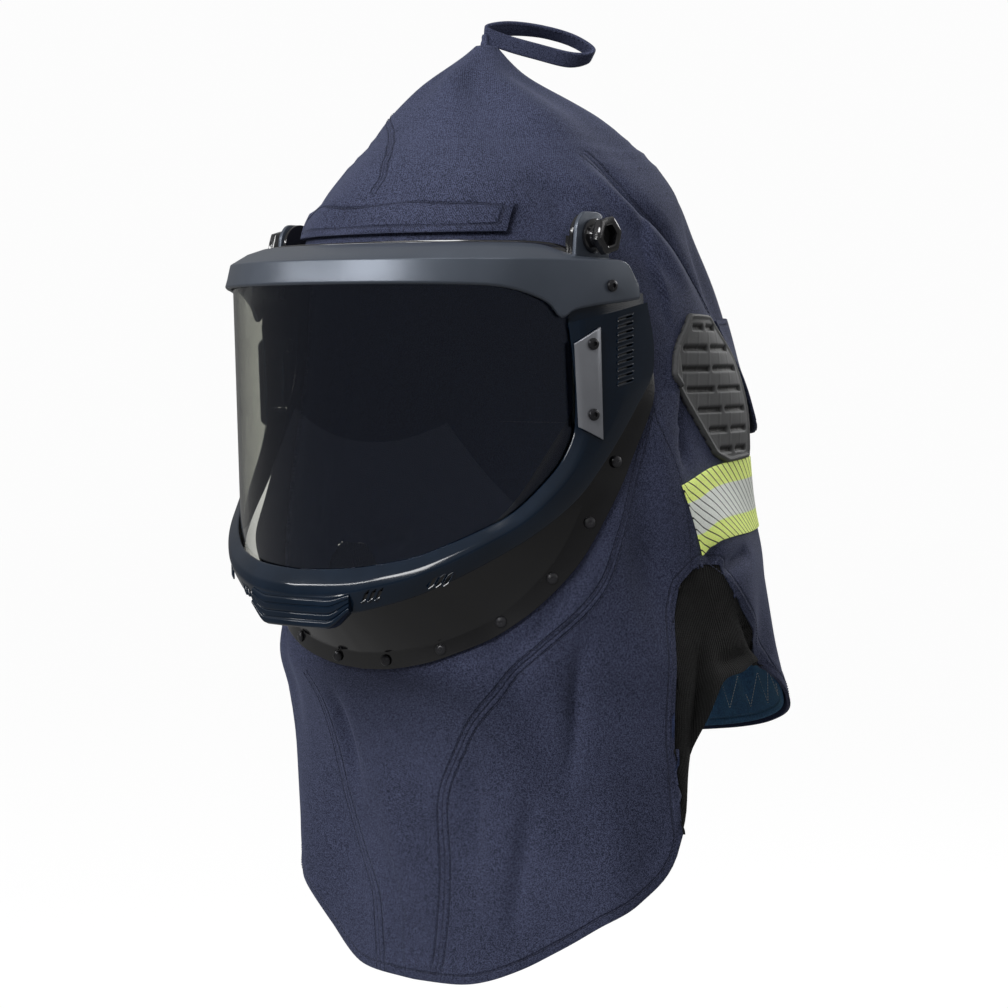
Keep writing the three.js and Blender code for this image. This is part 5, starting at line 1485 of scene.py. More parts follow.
def rear_outline():
    head, foot = -REAR_FLAP_DROP, -REAR_FLAP_DROP - REAR_FLAP_HEIGHT
    turn = np.linspace(0, np.pi / 2, 7)
    corner = np.stack([REAR_FLAP_HALF - REAR_FLAP_CORNER * (1 - np.cos(turn)),
                       foot + REAR_FLAP_CORNER * (1 - np.sin(turn))], 1)
    left = corner * (-1, 1)
    return np.concatenate(([[-REAR_FLAP_HALF, head]], left, corner[::-1], [[REAR_FLAP_HALF, head]]))


def rear_flare(z):
    return REAR_FLAP_FLARE * np.clip((-REAR_FLAP_DROP - z) / REAR_FLAP_HEIGHT, 0, 1) ** 2


def front_place(x, z):
    return front_angle(x, z), z


def back_place(x, z):
    return back_angle(x, z), z


def build_band():
    """The safety tape round the back, its ends slanted."""
    columns, rows = 260, 13
    across = np.linspace(0, 1, rows)[:, None]
    run = np.linspace(0, 1, columns)[None, :]
    starts = mix(BAND_TOP["back"][0], BAND_FOOT["back"][0], across) * HOOD_DEPTH
    first_z = mix(BAND_TOP["level"][0], BAND_FOOT["level"][0], across) * HOOD_DROP
    start = side_angle(starts, first_z)
    angle = mix(start, 2 * np.pi - start, run)
    z = np.full(angle.shape, -0.42 * HOOD_DROP)
    for _ in range(3):
        y = cloth_skin(angle, z)[..., 1] / HOOD_DEPTH
        top, foot = along(BAND_TOP, "back", "level", y), along(BAND_FOOT, "back", "level", y)
        z = mix(top, foot, across) * HOOD_DROP
    points = soft_point(angle, z, GAP + 1.2)
    middle = points[rows // 2]
    walked = np.concatenate(([0], np.cumsum(np.linalg.norm(np.diff(middle, axis=0), axis=1)))) / 1000
    uv = np.stack(np.broadcast_arrays(walked[None, :], 1 - across), -1).reshape(-1, 2)
    obj = mesh_object("tape_band", points.reshape(-1, 3), grid_faces(rows, columns), uv=uv)
    tidy_mesh(obj)
    face_out(obj, (0, 60, -240))
    cut = cut_of(obj)
    thicken(obj, 1.2, 0.3)
    return obj, cut


def build_lining():
    columns, rows = 90, 40
    first = float(side_angle(np.float64(LINING_FRONT * HOOD_DEPTH), np.float64(-0.6 * HOOD_DROP)))
    angle = np.linspace(first, 2 * np.pi - first, columns)[None, :] * np.ones((rows, 1))
    foot = hem_height(angle) + 3
    z = mix(LINING_HEAD * HOOD_DROP, foot, np.linspace(0, 1, rows)[:, None])
    under = -(CLOTH_WALL + GAP)
    points = soft_point(angle, z, np.full(z.shape, under))
    rim = np.minimum(z - foot, 99)
    flat = unrolled(np.degrees(angle), z).reshape(-1, 2) / 1000
    obj = mesh_object("lining_cloth", points.reshape(-1, 3), grid_faces(rows, columns), uv=flat,
                      rim=rim.ravel())
    tidy_mesh(obj)
    face_out(obj, (0, 60, -360))
    cut = cut_of(obj)
    thicken(obj, 1.8)
    zigzag = []
    for level in (0.2, 0.5, 0.8):
        turns = int(2 * (np.pi - first) * LINING_REACH / ZIGZAG_PITCH)
        run = np.linspace(first + 0.06, 2 * np.pi - first - 0.06, 2 * turns)
        swing = np.where(np.arange(len(run)) % 2 == 0, -ZIGZAG_HALF, ZIGZAG_HALF)
        height = mix(LINING_HEAD * HOOD_DROP, hem_height(run) + 3, level) + swing
        zigzag.append(soft_point(run, height, np.full(run.shape, under - 2.0)))
    return obj, cut, zigzag


def build_loop():
    lean, heading = math.radians(38), math.radians(60)
    run = np.array([math.cos(heading), math.sin(heading), 0])
    side = np.array([math.sin(heading), -math.cos(heading), 0])
    up = np.array([0, 0, 1.0])
    wide = side * math.cos(lean) + up * math.sin(lean)
    rise = unit(np.cross(run, wide))
    rise *= np.sign(rise[2])
    tip = np.array([0, cloth_section(np.float64(CROWN_RISE))[1], CROWN_RISE + 1 + GAP])
    base = tip + (0, 0, 4 + LOOP_WIDTH / 2 * math.sin(lean))
    along_run, along_rise = (LOOP_RUN[key][:, None] for key in ("along", "rise"))
    knots = base + along_run * LOOP_LENGTH * run + along_rise * LOOP_HEIGHT * rise
    count = len(knots)
    t = np.linspace(0, 1, 16, endpoint=False)[:, None]
    path = []
    for k in range(count):
        a, b, c, d = (knots[(k + i) % count] for i in (-1, 0, 1, 2))
        bend, twist = 2 * a - 5 * b + 4 * c - d, 3 * b - a - 3 * c + d
        path.append(0.5 * (2 * b + (c - a) * t + bend * t ** 2 + twist * t ** 3))
    path = np.concatenate(path)
    heading = unit(np.roll(path, -1, 0) - np.roll(path, 1, 0))
    share = np.arange(len(path)) / len(path)
    turn = np.radians(np.interp(share, LOOP_TWIST["share"], LOOP_TWIST["turn"]))
    wide = side * np.cos(turn)[:, None] + up * np.sin(turn)[:, None]
    out = unit(np.cross(heading, wide))
    section = [(-1, 1), (-0.72, 1.25), (0.72, 1.25), (1, 1)]
    section += [(w, -s) for w, s in section[::-1]]
    rings = np.stack([path + wide * w * LOOP_WIDTH * 0.58 + out * s * 1.1 for w, s in section], 1)
    strap = loft("loop_strap", rounded(rings, [0.5] * 8, 1), closed=True, angle=60)
    levels = ((-1.5, 3.2), (1, 3), (3, 2.5), (5.5, 2.5), (7, 2.1))
    square = np.array([[1, 1], [-1, 1], [-1, -1], [1, -1]], float)
    rings = np.array([np.column_stack([tip[:2] + square * r, np.full(4, tip[2] + h)]) for h, r in levels])
    stem = loft("loop_stem", rounded(rings, [1] * 4), angle=50)
    lines = [path + wide * w * 4.4 + out * 1.4 for w in (-1, 1)]
    return joined("loop_cloth", (strap, stem)), [np.vstack((line, line[:1])) for line in lines]


def sewn_rows():
    """Lines of stitches on the outer cloth: seams, hem and gusset edges."""
    lines = []
    for half, line in (*FRONT_SEAMS, *CROWN_SEAMS):
        line = softened(line, 8)
        flat = unrolled(line[:, 0], line[:, 1])
        run = unit(np.gradient(flat, axis=0))
        for side in ((-1, 1) if half else (0,)):
            moved = flat + np.stack([-run[:, 1], run[:, 0]], 1) * side * half
            turn = moved[:, 0] / cloth_section(moved[:, 1])[0]
            above = moved[:, 1] > hem_height(turn) + 1.5
            moved, turn = moved[above], turn[above]
            lines.append(soft_point(turn, moved[:, 1], np.full(len(turn), 0.25)))
    angle = np.linspace(-np.pi, np.pi, 700)
    z = hem_height(angle) + HEM_STITCH * np.sqrt(1 + hem_slope(angle) ** 2)
    points = soft_point(angle, z, np.full(len(angle), 1.05))
    within = (to_outline(points[:, 1:], GUSSET_OUTLINE)[0] > -3) & (abs(points[:, 0]) > HOOD_WIDTH / 4)
    pieces = np.split(np.arange(len(angle)), np.flatnonzero(np.diff(within)) + 1)
    lines += [points[part] for part in pieces if not within[part[0]] and len(part) > 2]
    edge = grown(rounded_outline(GUSSET_OUTLINE[:-1], 12), 4)
    edge = np.vstack((edge, edge[:1]))
    part = np.linspace(0, 1, 6, endpoint=False)[:, None]
    edge = np.concatenate([mix(a, b, part) for a, b in zip(edge[:-1], edge[1:])])
    for sign in (1, -1):
        turn = sign * side_angle(edge[:, 0], edge[:, 1])
        clear = edge[:, 1] > hem_height(turn) + 7
        points = soft_point(turn, edge[:, 1], np.full(len(turn), 0.25))
        pieces = np.split(np.arange(len(turn)), np.flatnonzero(np.diff(clear)) + 1)
        lines += [points[part] for part in pieces if clear[part[0]] and len(part) > 2]
    return lines


class HOOD_OT_cloth(bpy.types.Operator):
    """Build the outer cloth, the knit gussets, the flaps, the lining and the hanging loop"""
    bl_idname = "hood.cloth"
    bl_label = "Cloth"

    def execute(self, context):
        shell, gussets = build_shell()
        cut = cut_of(shell)
        thicken(shell, CLOTH_WALL - 0.4)
        # The inner wall takes the second material, the darker inside cloth: painted shade inside the hood.
        shell.modifiers["Solidify"].material_offset = 1
        finish_piece(shell, "hood", finish("cloth"), ["hood_shell"])
        shell.data.materials.append(finish("inside"))
        declare_sheet(shell, cut)
        for name, obj in gussets.items():
            cut = cut_of(obj)
            thicken(obj, 2)
            finish_piece(obj, "hood", finish("knit"), [f"gusset_{name}"])
            declare_sheet(obj, cut)
        lie = GAP + FLAP_THICKNESS
        lip = lambda flat, inside: lie + 1.5 + 1.3 * np.sin(flat[:, 0] / 11) * smooth(inside / 6)
        flared = lambda flat, inside: lie + rear_flare(flat[:, 1])
        for name, outline, step, place, offset, held, node in (
                ("forehead_strip", forehead_outline(), 1.6, front_place, lip, "laid", "forehead_flap"),
                ("rear_strip", rear_outline(), 2.4, back_place, flared, "hung", "rear_flap")):
            flap, cut = laid_patch(name, outline, step, place, offset, FLAP_THICKNESS)
            finish_piece(flap, "hood", finish("trim"), [node])
            declare_sheet(flap, cut)
        lining, cut, zigzag = build_lining()
        finish_piece(lining, "hood", finish("lining"), ["back_lining"])
        declare_sheet(lining, cut)
        sew("lining_stitches", zigzag, "hood", "white thread", 0.0024, 0.0022, 0.0005)
        loop, edges = build_loop()
        finish_piece(loop, "hood", finish("strap"), ["hanging_loop"])
        rows = sewn_rows()
        inner = grown(forehead_outline(), -FLAP_STITCH)
        angle, z = front_place(inner[:, 0], inner[:, 1])
        rows.append(soft_point(angle, z, lie + 1.8 + 1.3 * np.sin(inner[:, 0] / 11) * 0.65))
        inner = grown(rear_outline(), -REAR_STITCH)
        angle, z = back_place(inner[:, 0], inner[:, 1])
        rows.append(soft_point(angle, z, lie + 0.2 + rear_flare(z)))
        sew("hood_stitches", rows + edges, "hood")
        return {"FINISHED"}


class HOOD_OT_tape(bpy.types.Operator):
    """Build the safety tape round the back"""
    bl_idname = "hood.tape"
    bl_label = "Safety tape"

    def execute(self, context):
        band, cut = build_band()
        finish_piece(band, "hood", finish("tape"), ["reflective_band"])
        declare_sheet(band, cut)
        return {"FINISHED"}


class HOOD_OT_vents(bpy.types.Operator):
    """Build the rubber vent covers with their rims and slots"""
    bl_idname = "hood.vents"
    bl_label = "Vent covers"

    def execute(self, context):
        back, level = VENT_BACK + VENT["back"] * VENT_WIDTH, -VENT_DROP - VENT["down"] * VENT_HEIGHT
        outline = rounded_outline(np.stack([back, level], 1), 3)
        slots = self.slots(outline)
        for name, sign in (("left", 1), ("right", -1)):
            flat, faces, inside = patch(outline, 0.95)
            height = 0.3 + 3.4 * smooth(inside / 1.4) - 0.9 * smooth((inside - 3) / 1)
            # How far each point sinks into a slot; the rubber's colour turns near black there as painted
            # shade.
            hollow = np.zeros(len(flat))
            for middle, half in slots:
                away = abs(flat - middle) - half + 1.1
                beside = np.linalg.norm(np.maximum(away, 0), axis=1) + np.minimum(away.max(1), 0) - 1.1
                depth = smooth(-(beside - 0.5) / 1.3)
                height -= 2.3 * depth
                hollow = np.maximum(hollow, depth)
            for line in np.linspace(outline[:, 0].min() + 16, outline[:, 0].max() - 16, 6):
                away = flat[:, 0] - line - 0.12 * (flat[:, 1] + 165)
                height += 0.25 * np.exp(-(away / 0.9) ** 2) * smooth((inside - 6) / 2)
            angle = sign * side_angle(flat[:, 0], flat[:, 1])
            points = soft_point(angle, flat[:, 1], height)
            obj = mesh_object(f"vent_rubber_{name}", points, faces, hollow=hollow)
            tidy_mesh(obj)
            face_out(obj, (0, 60, -165))
            add_modifier(obj, "SOLIDIFY", thickness=0.0003, offset=-1)
            finish_piece(obj, "hood", finish("vent"), [f"vent_cover_{name}"])
        return {"FINISHED"}

    def slots(self, outline):
        """The middle and half size of every slot: two in each of seven rows, split by a rib."""
        made = []
        for z in np.linspace(outline[:, 1].max() - 9.6, outline[:, 1].min() + 9.6, 7):
            crossing = []
            for (y, height), (next_y, next_height) in zip(outline, np.roll(outline, -1, 0)):
                if (height - z) * (next_height - z) <= 0 and height != next_height:
                    crossing.append(mix(y, next_y, (z - height) / (next_height - height)))
            front, back = min(crossing) + 9.6, max(crossing) - 9.6
            centre = (front + back) / 2
            for start, end in ((front, centre - 2), (centre + 2, back)):
                made.append((np.array([(start + end) / 2, z]), np.array([(end - start) / 2, 1.9])))
        return made


# The face frame

class HOOD_OT_face_frame(bpy.types.Operator):
    """Build the black face frame with its flange and its ears"""
    bl_idname = "hood.face_frame"
    bl_label = "Face frame"

    def execute(self, context):
        rows = window_rows(240)
        outline = np.stack([rows["x"], rows["z"]], 1)
        out = unit(grown(outline, 1) - outline)

        def on_cloth(shift, offset):
            x, z = outline[:, 0] + out[:, 0] * shift, outline[:, 1] + out[:, 1] * shift
            return cloth_point(front_angle(x, z), z, offset)

        def lip(shift):
            x, z = rows["lip_x"] + out[:, 0] * shift, rows["lip_z"] + out[:, 1] * shift
            cloth = cloth_point(front_angle(x, z), z, GAP)[:, 1]
            share = np.sqrt(np.maximum(0, 1 - (x / (VISOR_HALF - LIP_CLEARANCE)) ** 2))
            lean = VISOR_LEAN * np.maximum(0, (brow_level(1) - z) / VISOR_HEIGHT)
            visor = VISOR_BACK - (VISOR_REACH - lean - LENS_HALF - LIP_CLEARANCE) * share
            y = cloth + rows["reach"] * (visor - cloth)
            y = np.where(z > brow_level(1), np.maximum(y, shelf_y(x) + BAR_CLEARANCE), y)
            return np.stack([x, np.minimum(y, cloth - FRAME_WALL), z], 1)

        top = GAP + FLANGE_THICKNESS
        rings = np.stack([lip(FRAME_WALL), on_cloth(FRAME_WALL, top), on_cloth(rows["flange"], top),
                          on_cloth(rows["flange"], GAP), on_cloth(0, GAP), lip(0)], 1)
        parts = [loft("ring", rounded(rings, [1, 1, 0.7, 0.4, 0.6, 1]), closed=True)]
        leg_front, leg_back = PIVOT_Y - EAR_RADIUS, PIVOT_Y + EAR_RADIUS * 0.1
        leg_foot = PIVOT_Z - EAR_RADIUS * 3.2
        turn = np.linspace(np.radians(-84), np.pi, 30)
        head = np.stack([PIVOT_Y + EAR_RADIUS * np.cos(turn), PIVOT_Z + EAR_RADIUS * np.sin(turn)], 1)
        ear = np.vstack((head, [[leg_front, leg_foot], [leg_back, leg_foot]]))
        leg = np.array([[leg_front, PIVOT_Z], [leg_front, leg_foot], [leg_back, leg_foot],
                        [leg_back, PIVOT_Z]])
        for sign in (1, -1):
            parts.append(slab("ear", ear, EAR_NEAR, EAR_FAR, sign))
            parts.append(slab("leg", leg, EAR_NEAR - FRAME_WALL, EAR_NEAR + 0.6, sign, 0.5))
        obj = joined("face_frame_black", parts)
        finish_piece(obj, "hood", finish("frame"), ["face_frame"])
        return {"FINISHED"}


# The visor

class HOOD_OT_lens(bpy.types.Operator):
    """Build the curved see-through lens"""
    bl_idname = "hood.lens"
    bl_label = "Lens"

    def execute(self, context):
        last = LENS_FOOT["angle"][-1]
        angle = np.linspace(-last, last, 149)
        foot = visor_z(along(LENS_FOOT, "angle", "down", abs(angle)))
        top = np.full_like(angle, brow_level(BROW["edge"][0]) - VISOR_WALL - 3 * GAP)
        levels = [top, np.full_like(angle, brow_level(1)), foot]
        outer = [visor_point(angle, z, LENS_HALF) for z in levels]
        inner = [visor_point(angle, z, -LENS_HALF) for z in levels[::-1]]
        obj = loft("lens_sheet", np.stack(outer + inner, 1), angle=40)
        finish_piece(obj, "visor", finish("lens"), ["visor_lens"])
        return {"FINISHED"}


class HOOD_OT_brow(bpy.types.Operator):
    """Build the brow with its shelf and the tabs that turn on the pivots"""
    bl_idname = "hood.brow"
    bl_label = "Brow"

    def execute(self, context):
        last = BROW["angle"][-1]
        angle = np.linspace(-last, last, 221)
        crest, edge, foot = (brow_level(along(BROW, "angle", key, abs(angle)))
                             for key in ("crest", "edge", "foot"))
        proud = SKIN_START + BROW_PROUD
        inner_edge = shelf_point(angle, crest)
        tilt = mix(3.6, 0.8, smooth((abs(angle) - 46) / 9))
        end = visor_point(angle, edge, proud - tilt)
        swell = BROW_CROWN * 0.12

        def slope(share, drop):
            point = mix(inner_edge, end, share)
            point[:, 2] = mix(crest, edge + 1, share) - drop
            return point

        outer = [slope(0, 0), slope(0.5, -swell), slope(1, 0),
                 visor_point(angle, mix(edge, foot, 0.55), proud - tilt * 0.42),
                 visor_point(angle, foot + 1.5, proud), visor_point(angle, foot, proud - 1.2)]
        inner = [slope(0, VISOR_WALL), slope(0.5, VISOR_WALL - swell), slope(0.96, VISOR_WALL),
                 visor_point(angle, np.maximum(mix(edge, foot, 0.35), foot + 2), SKIN_START),
                 visor_point(angle, foot + 1.5, SKIN_START), visor_point(angle, foot, SKIN_START)]
        rings = np.stack(outer + inner[::-1], 1)
        front = PIVOT_Y - EAR_RADIUS - BAR_CLEARANCE
        least = MOVER_NEAR + SHELF_SET_BACK
        x = rings[..., 0]
        behind = smooth((rings[..., 1] - front + 1.5) / 3)
        rings[..., 0] = np.where(x < 0, -1, 1) * mix(abs(x), np.maximum(abs(x), least), behind)
        body = loft("brow_body", rounded(rings, [1, 0, 0.9, 0, 0.7, 0.5, 0.6, 0, 1.5, 2, 0, 0.8]))
        half = EAR_RADIUS
        tab = np.array([
            [PIVOT_Y - half * 1.15, BROW_Z - BROW_CROWN], [PIVOT_Y + half * 1.2, BROW_Z - BROW_CROWN],
            [PIVOT_Y + half, PIVOT_Z + half * 0.4], [PIVOT_Y + half * 0.55, PIVOT_Z + half],
            [PIVOT_Y - half * 0.6, PIVOT_Z + half], [PIVOT_Y - half, PIVOT_Z + half * 0.5],
        ])
        parts = [body]
        for sign in (1, -1):
            parts.append(slab("tab", rounded_outline(tab, 4), MOVER_NEAR, MOVER_FAR, sign, 0.9))
        obj = joined("brow_satin", parts)
        finish_piece(obj, "visor", finish("brow"), ["visor_brow"])
        return {"FINISHED"}


# Width, height, slant and depth of the side louvres and of the chin vents
SLOTS = {"louvre": (14, 1.8, 3, 2.9), "chin": (2.6, 6.8, 2.6, 4.6)}


def slot_outline(width, height, slant):
    """A slanted bar with round corners. One that is taller than it is wide leans over."""
    corners = np.array([[-width, -height], [width, 2 * slant - height], [width, 2 * slant + height],
                        [-width, height]]) / 2
    corners[:, 0] += (height > width) * 0.2 * slant * corners[:, 1]
    return rounded_outline(corners, min(width, height) * 0.45, 3)


def slot_shape(width, height, slant, depth):
    """A slot's solid: a rounded slanted bar sunk into the wall, its depth along Z."""
    flat = slot_outline(width, height, slant)
    rings = np.array([np.column_stack([flat, np.full(len(flat), z)]) for z in (-depth, 9)])
    return loft("slot", rings, angle=50)


def slot_rim(width, height, slant, _):
    """A thin raised lip round a slot."""
    flat = slot_outline(width, height, slant)
    rows = [(-0.2, -0.6), (-0.2, 0.25), (SLOT_RIM * 0.5, 0.5), (SLOT_RIM, 0.25), (SLOT_RIM, -0.6)]
    rings = np.array([np.column_stack([grown(flat, by), np.full(len(flat), z)]) for by, z in rows])
    return loft("slot_rim", rings.transpose(1, 0, 2), closed=True, angle=50)


class HOOD_OT_lower_frame(bpy.types.Operator):
    """Build the lower frame with its chin block, louvres and chin vents"""
    bl_idname = "hood.lower_frame"
    bl_label = "Lower frame"

    def execute(self, context):
        share = np.linspace(0, 1, 91)
        read = {key: along_rows(LOWER, key, share) for key in LOWER}
        read = {key: np.concatenate((row, (-1 if "angle" in key else 1) * row[-2::-1]))
                for key, row in read.items()}
        crest, proud = read["crest"], read["proud"]
        shares = [0 * crest, crest * 0.62, crest, (1 + crest) / 2, 0 * crest + 1]
        rises = [0.35 + 0 * proud, mix(0.35, proud, 0.8), proud, (proud + 1) / 2, 0.75 + 0 * proud]

        def place(part, offset):
            turn = mix(read["inner_angle"], read["outer_angle"], part)
            return visor_point(turn, visor_z(mix(read["inner_down"], read["outer_down"], part)), offset)

        outer = [place(s, SKIN_START + VISOR_WALL * r) for s, r in zip(shares, rises)]
        inner = [place(s, SKIN_START + np.maximum(0, r - 1) * VISOR_WALL) for s, r in zip(shares, rises)]
        rings = np.stack(outer + inner[::-1], 1)
        band = loft("band", rounded(rings, [0.9, 1.2, 1.4, 3, 1, 0.5, 0, 0, 0, 0.4]), angle=28)
        cutter = joined("cutters", self.at_slots("cutter", slot_shape))
        cut = add_modifier(band, "BOOLEAN", operation="DIFFERENCE", solver="EXACT", object=cutter)
        cut.use_self = False
        baked(band)
        bpy.data.objects.remove(cutter)
        band.data.set_sharp_from_angle(angle=math.radians(28))
        rims = self.at_slots("slot_rims", slot_rim)
        obj = joined("lower_frame_gloss", [band, self.chin(), *rims, *self.tongues(), *self.brackets()])
        finish_piece(obj, "visor", finish("navy"), ["visor_lower_frame"])
        return {"FINISHED"}

    def at_slots(self, name, shape):
        """A shape at every louvre and chin vent, as one mesh for each kind and side."""
        made = []
        spots = self.spots()
        for kind, (width, height, slant, depth) in SLOTS.items():
            for sign in (1, -1):
                chosen = [spot[2:] for spot in spots if spot[:2] == (kind, sign)]
                template = shape(width, height, sign * slant, depth)
                points, axes, lifts = (np.array(column) for column in zip(*chosen))
                made.append(placed(name, template, points, axes, lifts, finish("navy")))
        return made

    def spots(self):
        """The kind, side, place, axis and lift of every louvre and chin vent."""
        made = []
        top = SKIN_START + VISOR_WALL
        for sign in (1, -1):
            for k in range(LOUVRE_COUNT):
                z = visor_z(0.2) - k * LOUVRE_PITCH
                made.append(("louvre", sign, sign * 80.4, z, top + 0.1))
            for angle, down in ((20.7, 0.912), (36.1, 0.874)):
                for k in (-1, 0, 1):
                    turn = sign * (angle + math.degrees(k * CHIN_SLOT_PITCH / VISOR_REACH))
                    made.append(("chin", sign, turn, visor_z(down) + k * 0.8, top + 2.2))
        return [(kind, sign, visor_point(a, z, offset), visor_normal(a, z), np.array([0, 0, 1.0]))
                for kind, sign, a, z, offset in made]

    def tongues(self):
        """The thin wall that runs up behind the brow at each side."""
        made = []
        for sign in (1, -1):
            angle = sign * np.linspace(66.6, 87, 30)
            top = np.full_like(angle, brow_level(1.15))
            foot = visor_z(mix(0.22, 0.17, np.linspace(0, 1, 30)))
            rings = np.stack([visor_point(angle, z, offset) for z, offset in (
                (top, SKIN_START), (foot, SKIN_START + 1), (foot, LENS_HALF + 0.2),
                (top, LENS_HALF + 0.2))], 1)
            made.append(loft("tongue", rings))
        return made

    def brackets(self):
        """The clamp behind each side plate: two bars and the end of each screw."""
        made = []
        for sign in (1, -1):
            for turn in (70.3, 73.6):
                angle = sign * np.linspace(turn - 0.4, turn + 0.4, 3)
                corners = ((-62, 8), (-118, 8), (-118, 10.5), (-62, 10.5))
                rings = np.stack([visor_point(angle, BROW_Z + drop, -depth) for drop, depth in corners], 1)
                made.append(loft("bar", rounded(rings, [0.6] * 4)))
            nut = lathe("nut", [(0.001, 0), (5.5, 0), (5.5, 11), (4.6, 12), (0.001, 12)], 20)
            levels = [BROW_Z - drop for drop in PLATE_SCREW_DROPS]
            spots = [visor_point(sign * 72, z, -LENS_HALF - GAP) for z in levels]
            axes = [-visor_normal(sign * 72, z) for z in levels]
            made.append(placed("nuts", nut, spots, axes, [(0, 0, 1)] * 2, finish("navy")))
        return made

    def chin(self):
        end = CHIN_FOOT["angle"][-1]
        angle = np.linspace(-end, end, 41)
        foot = along(CHIN_FOOT, "angle", "down", abs(angle))
        levels = np.linspace(0, 1, 64)
        ridge = smooth(np.abs(((levels * 6 + 0.5) % 1) - 0.5) * 6) * (levels < 0.8)
        swell = 3.2 * smooth(levels / 0.5) + 1.1 * smooth((levels - 0.8) / 0.08)
        proud = SKIN_START + VISOR_WALL * 1.6 + swell + 0.7 * ridge - 2.2 * smooth((levels - 0.96) / 0.04)
        outer = [visor_point(angle, visor_z(mix(CHIN_TOP, foot, s)), p) for s, p in zip(levels, proud)]
        inner = [visor_point(angle, visor_z(mix(CHIN_TOP, foot, s)), SKIN_START) for s in (1, 0.5, 0)]
        return loft("chin", np.stack(outer + inner, 1), angle=40)


class HOOD_OT_plates(bpy.types.Operator):
    """Build the satin plate at each side of the lens"""
    bl_idname = "hood.plates"
    bl_label = "Side plates"

    def execute(self, context):
        near = SKIN_START + VISOR_WALL * 1.3 + GAP
        share = np.array([0, 0.08, 0.2, 0.35, 0.5, 0.65, 0.8, 0.93, 1])
        rise = np.array([0.5, 1.5, 2, 2, 2, 2, 2, 1.9, 1.3])
        for name, sign in (("left", 1), ("right", -1)):
            def corner(row, offset):
                angle = sign * mix(PLATE["front_angle"][row], PLATE["rear_angle"][row], share)
                z = visor_z(mix(PLATE["front_down"][row], PLATE["rear_down"][row], share))
                return visor_point(angle, z, offset)

            rings = np.stack([corner(0, near + rise), corner(1, near + rise), corner(1, near),
                              corner(0, near)], 1)
            obj = loft(f"plate_satin_{name}", rounded(rings, [0.9, 0.9, 0.3, 0.3]), angle=24)
            finish_piece(obj, "visor", finish("plate"), [f"side_plate_{name}"])
        return {"FINISHED"}


class HOOD_OT_fasteners(bpy.types.Operator):
    """Set the rivets, the screws and the pivot knobs on their seats"""
    bl_idname = "hood.fasteners"
    bl_label = "Rivets, screws and knobs"

    def execute(self, context):
        nodes = sorted(frame["nodes"])
        rivet = lathe("rivet", [(0.001, 0), (3.95, 0), (3.9, 0.5), (3.5, 1.2), (2.7, 1.8), (1.6, 2.15),
                                (1, 2.15), (0.7, 1.9), (0.001, 1.85)], 28)
        self.set_on("frame_rivets", rivet, [n for n in nodes if n.startswith("rivet_")], "hood", "rivet")
        screw = lathe("screw", [(0.001, 0), (3.95, 0), (4, 0.9), (3.7, 1.6), (2.9, 2.15), (1.9, 2.4),
                                (1.75, 2.3), (1.7, 1.1), (0.001, 1.1)], 30, [0] * 5 + [1] * 4)
        self.set_on("visor_screws", screw, [n for n in nodes if "screw" in n], "visor", "steel")
        knob = lathe("knob", [(0.001, -8.2), (4, -8.2), (4, 0),
                              *((r * KNOB_RADIUS, h * KNOB_LENGTH)
                                for r, h in zip(KNOB["radius"], KNOB["height"])),
                              (0.001, KNOB_LENGTH * 0.58)], 72, [0, 0, 0, *KNOB["hex"], 0])
        spots = [(sign * (MOVER_FAR + GAP), PIVOT_Y, PIVOT_Z) for sign in (1, -1)]
        axes = [(sign, 0, 0) for sign in (1, -1)]
        obj = placed("pivot_grips", knob, spots, axes, [(0, 0.3, 1)] * 2, finish("knob"))
        finish_piece(obj, "visor", finish("knob"), ["pivot_knob_left", "pivot_knob_right"])
        return {"FINISHED"}

    def set_on(self, name, template, nodes, body, material):
        seats = [seat_of(node) for node in nodes]
        obj = placed(name, template, [s[0] for s in seats], [s[1] for s in seats], [(0, 0, 1)] * len(seats),
                     finish(material))
        finish_piece(obj, body, finish(material), nodes)


# The stage

def seen_straight(tree):
    """1 where the surroundings are seen directly or through the lens, 0 for mirrored and scattered light."""
    path = tree.node("ShaderNodeLightPath").outputs
    straight = tree.most(path["Is Camera Ray"], path["Is Transmission Ray"])
    return tree.math("GREATER_THAN", straight, tree.add(path["Glossy Depth"], path["Diffuse Depth"]))


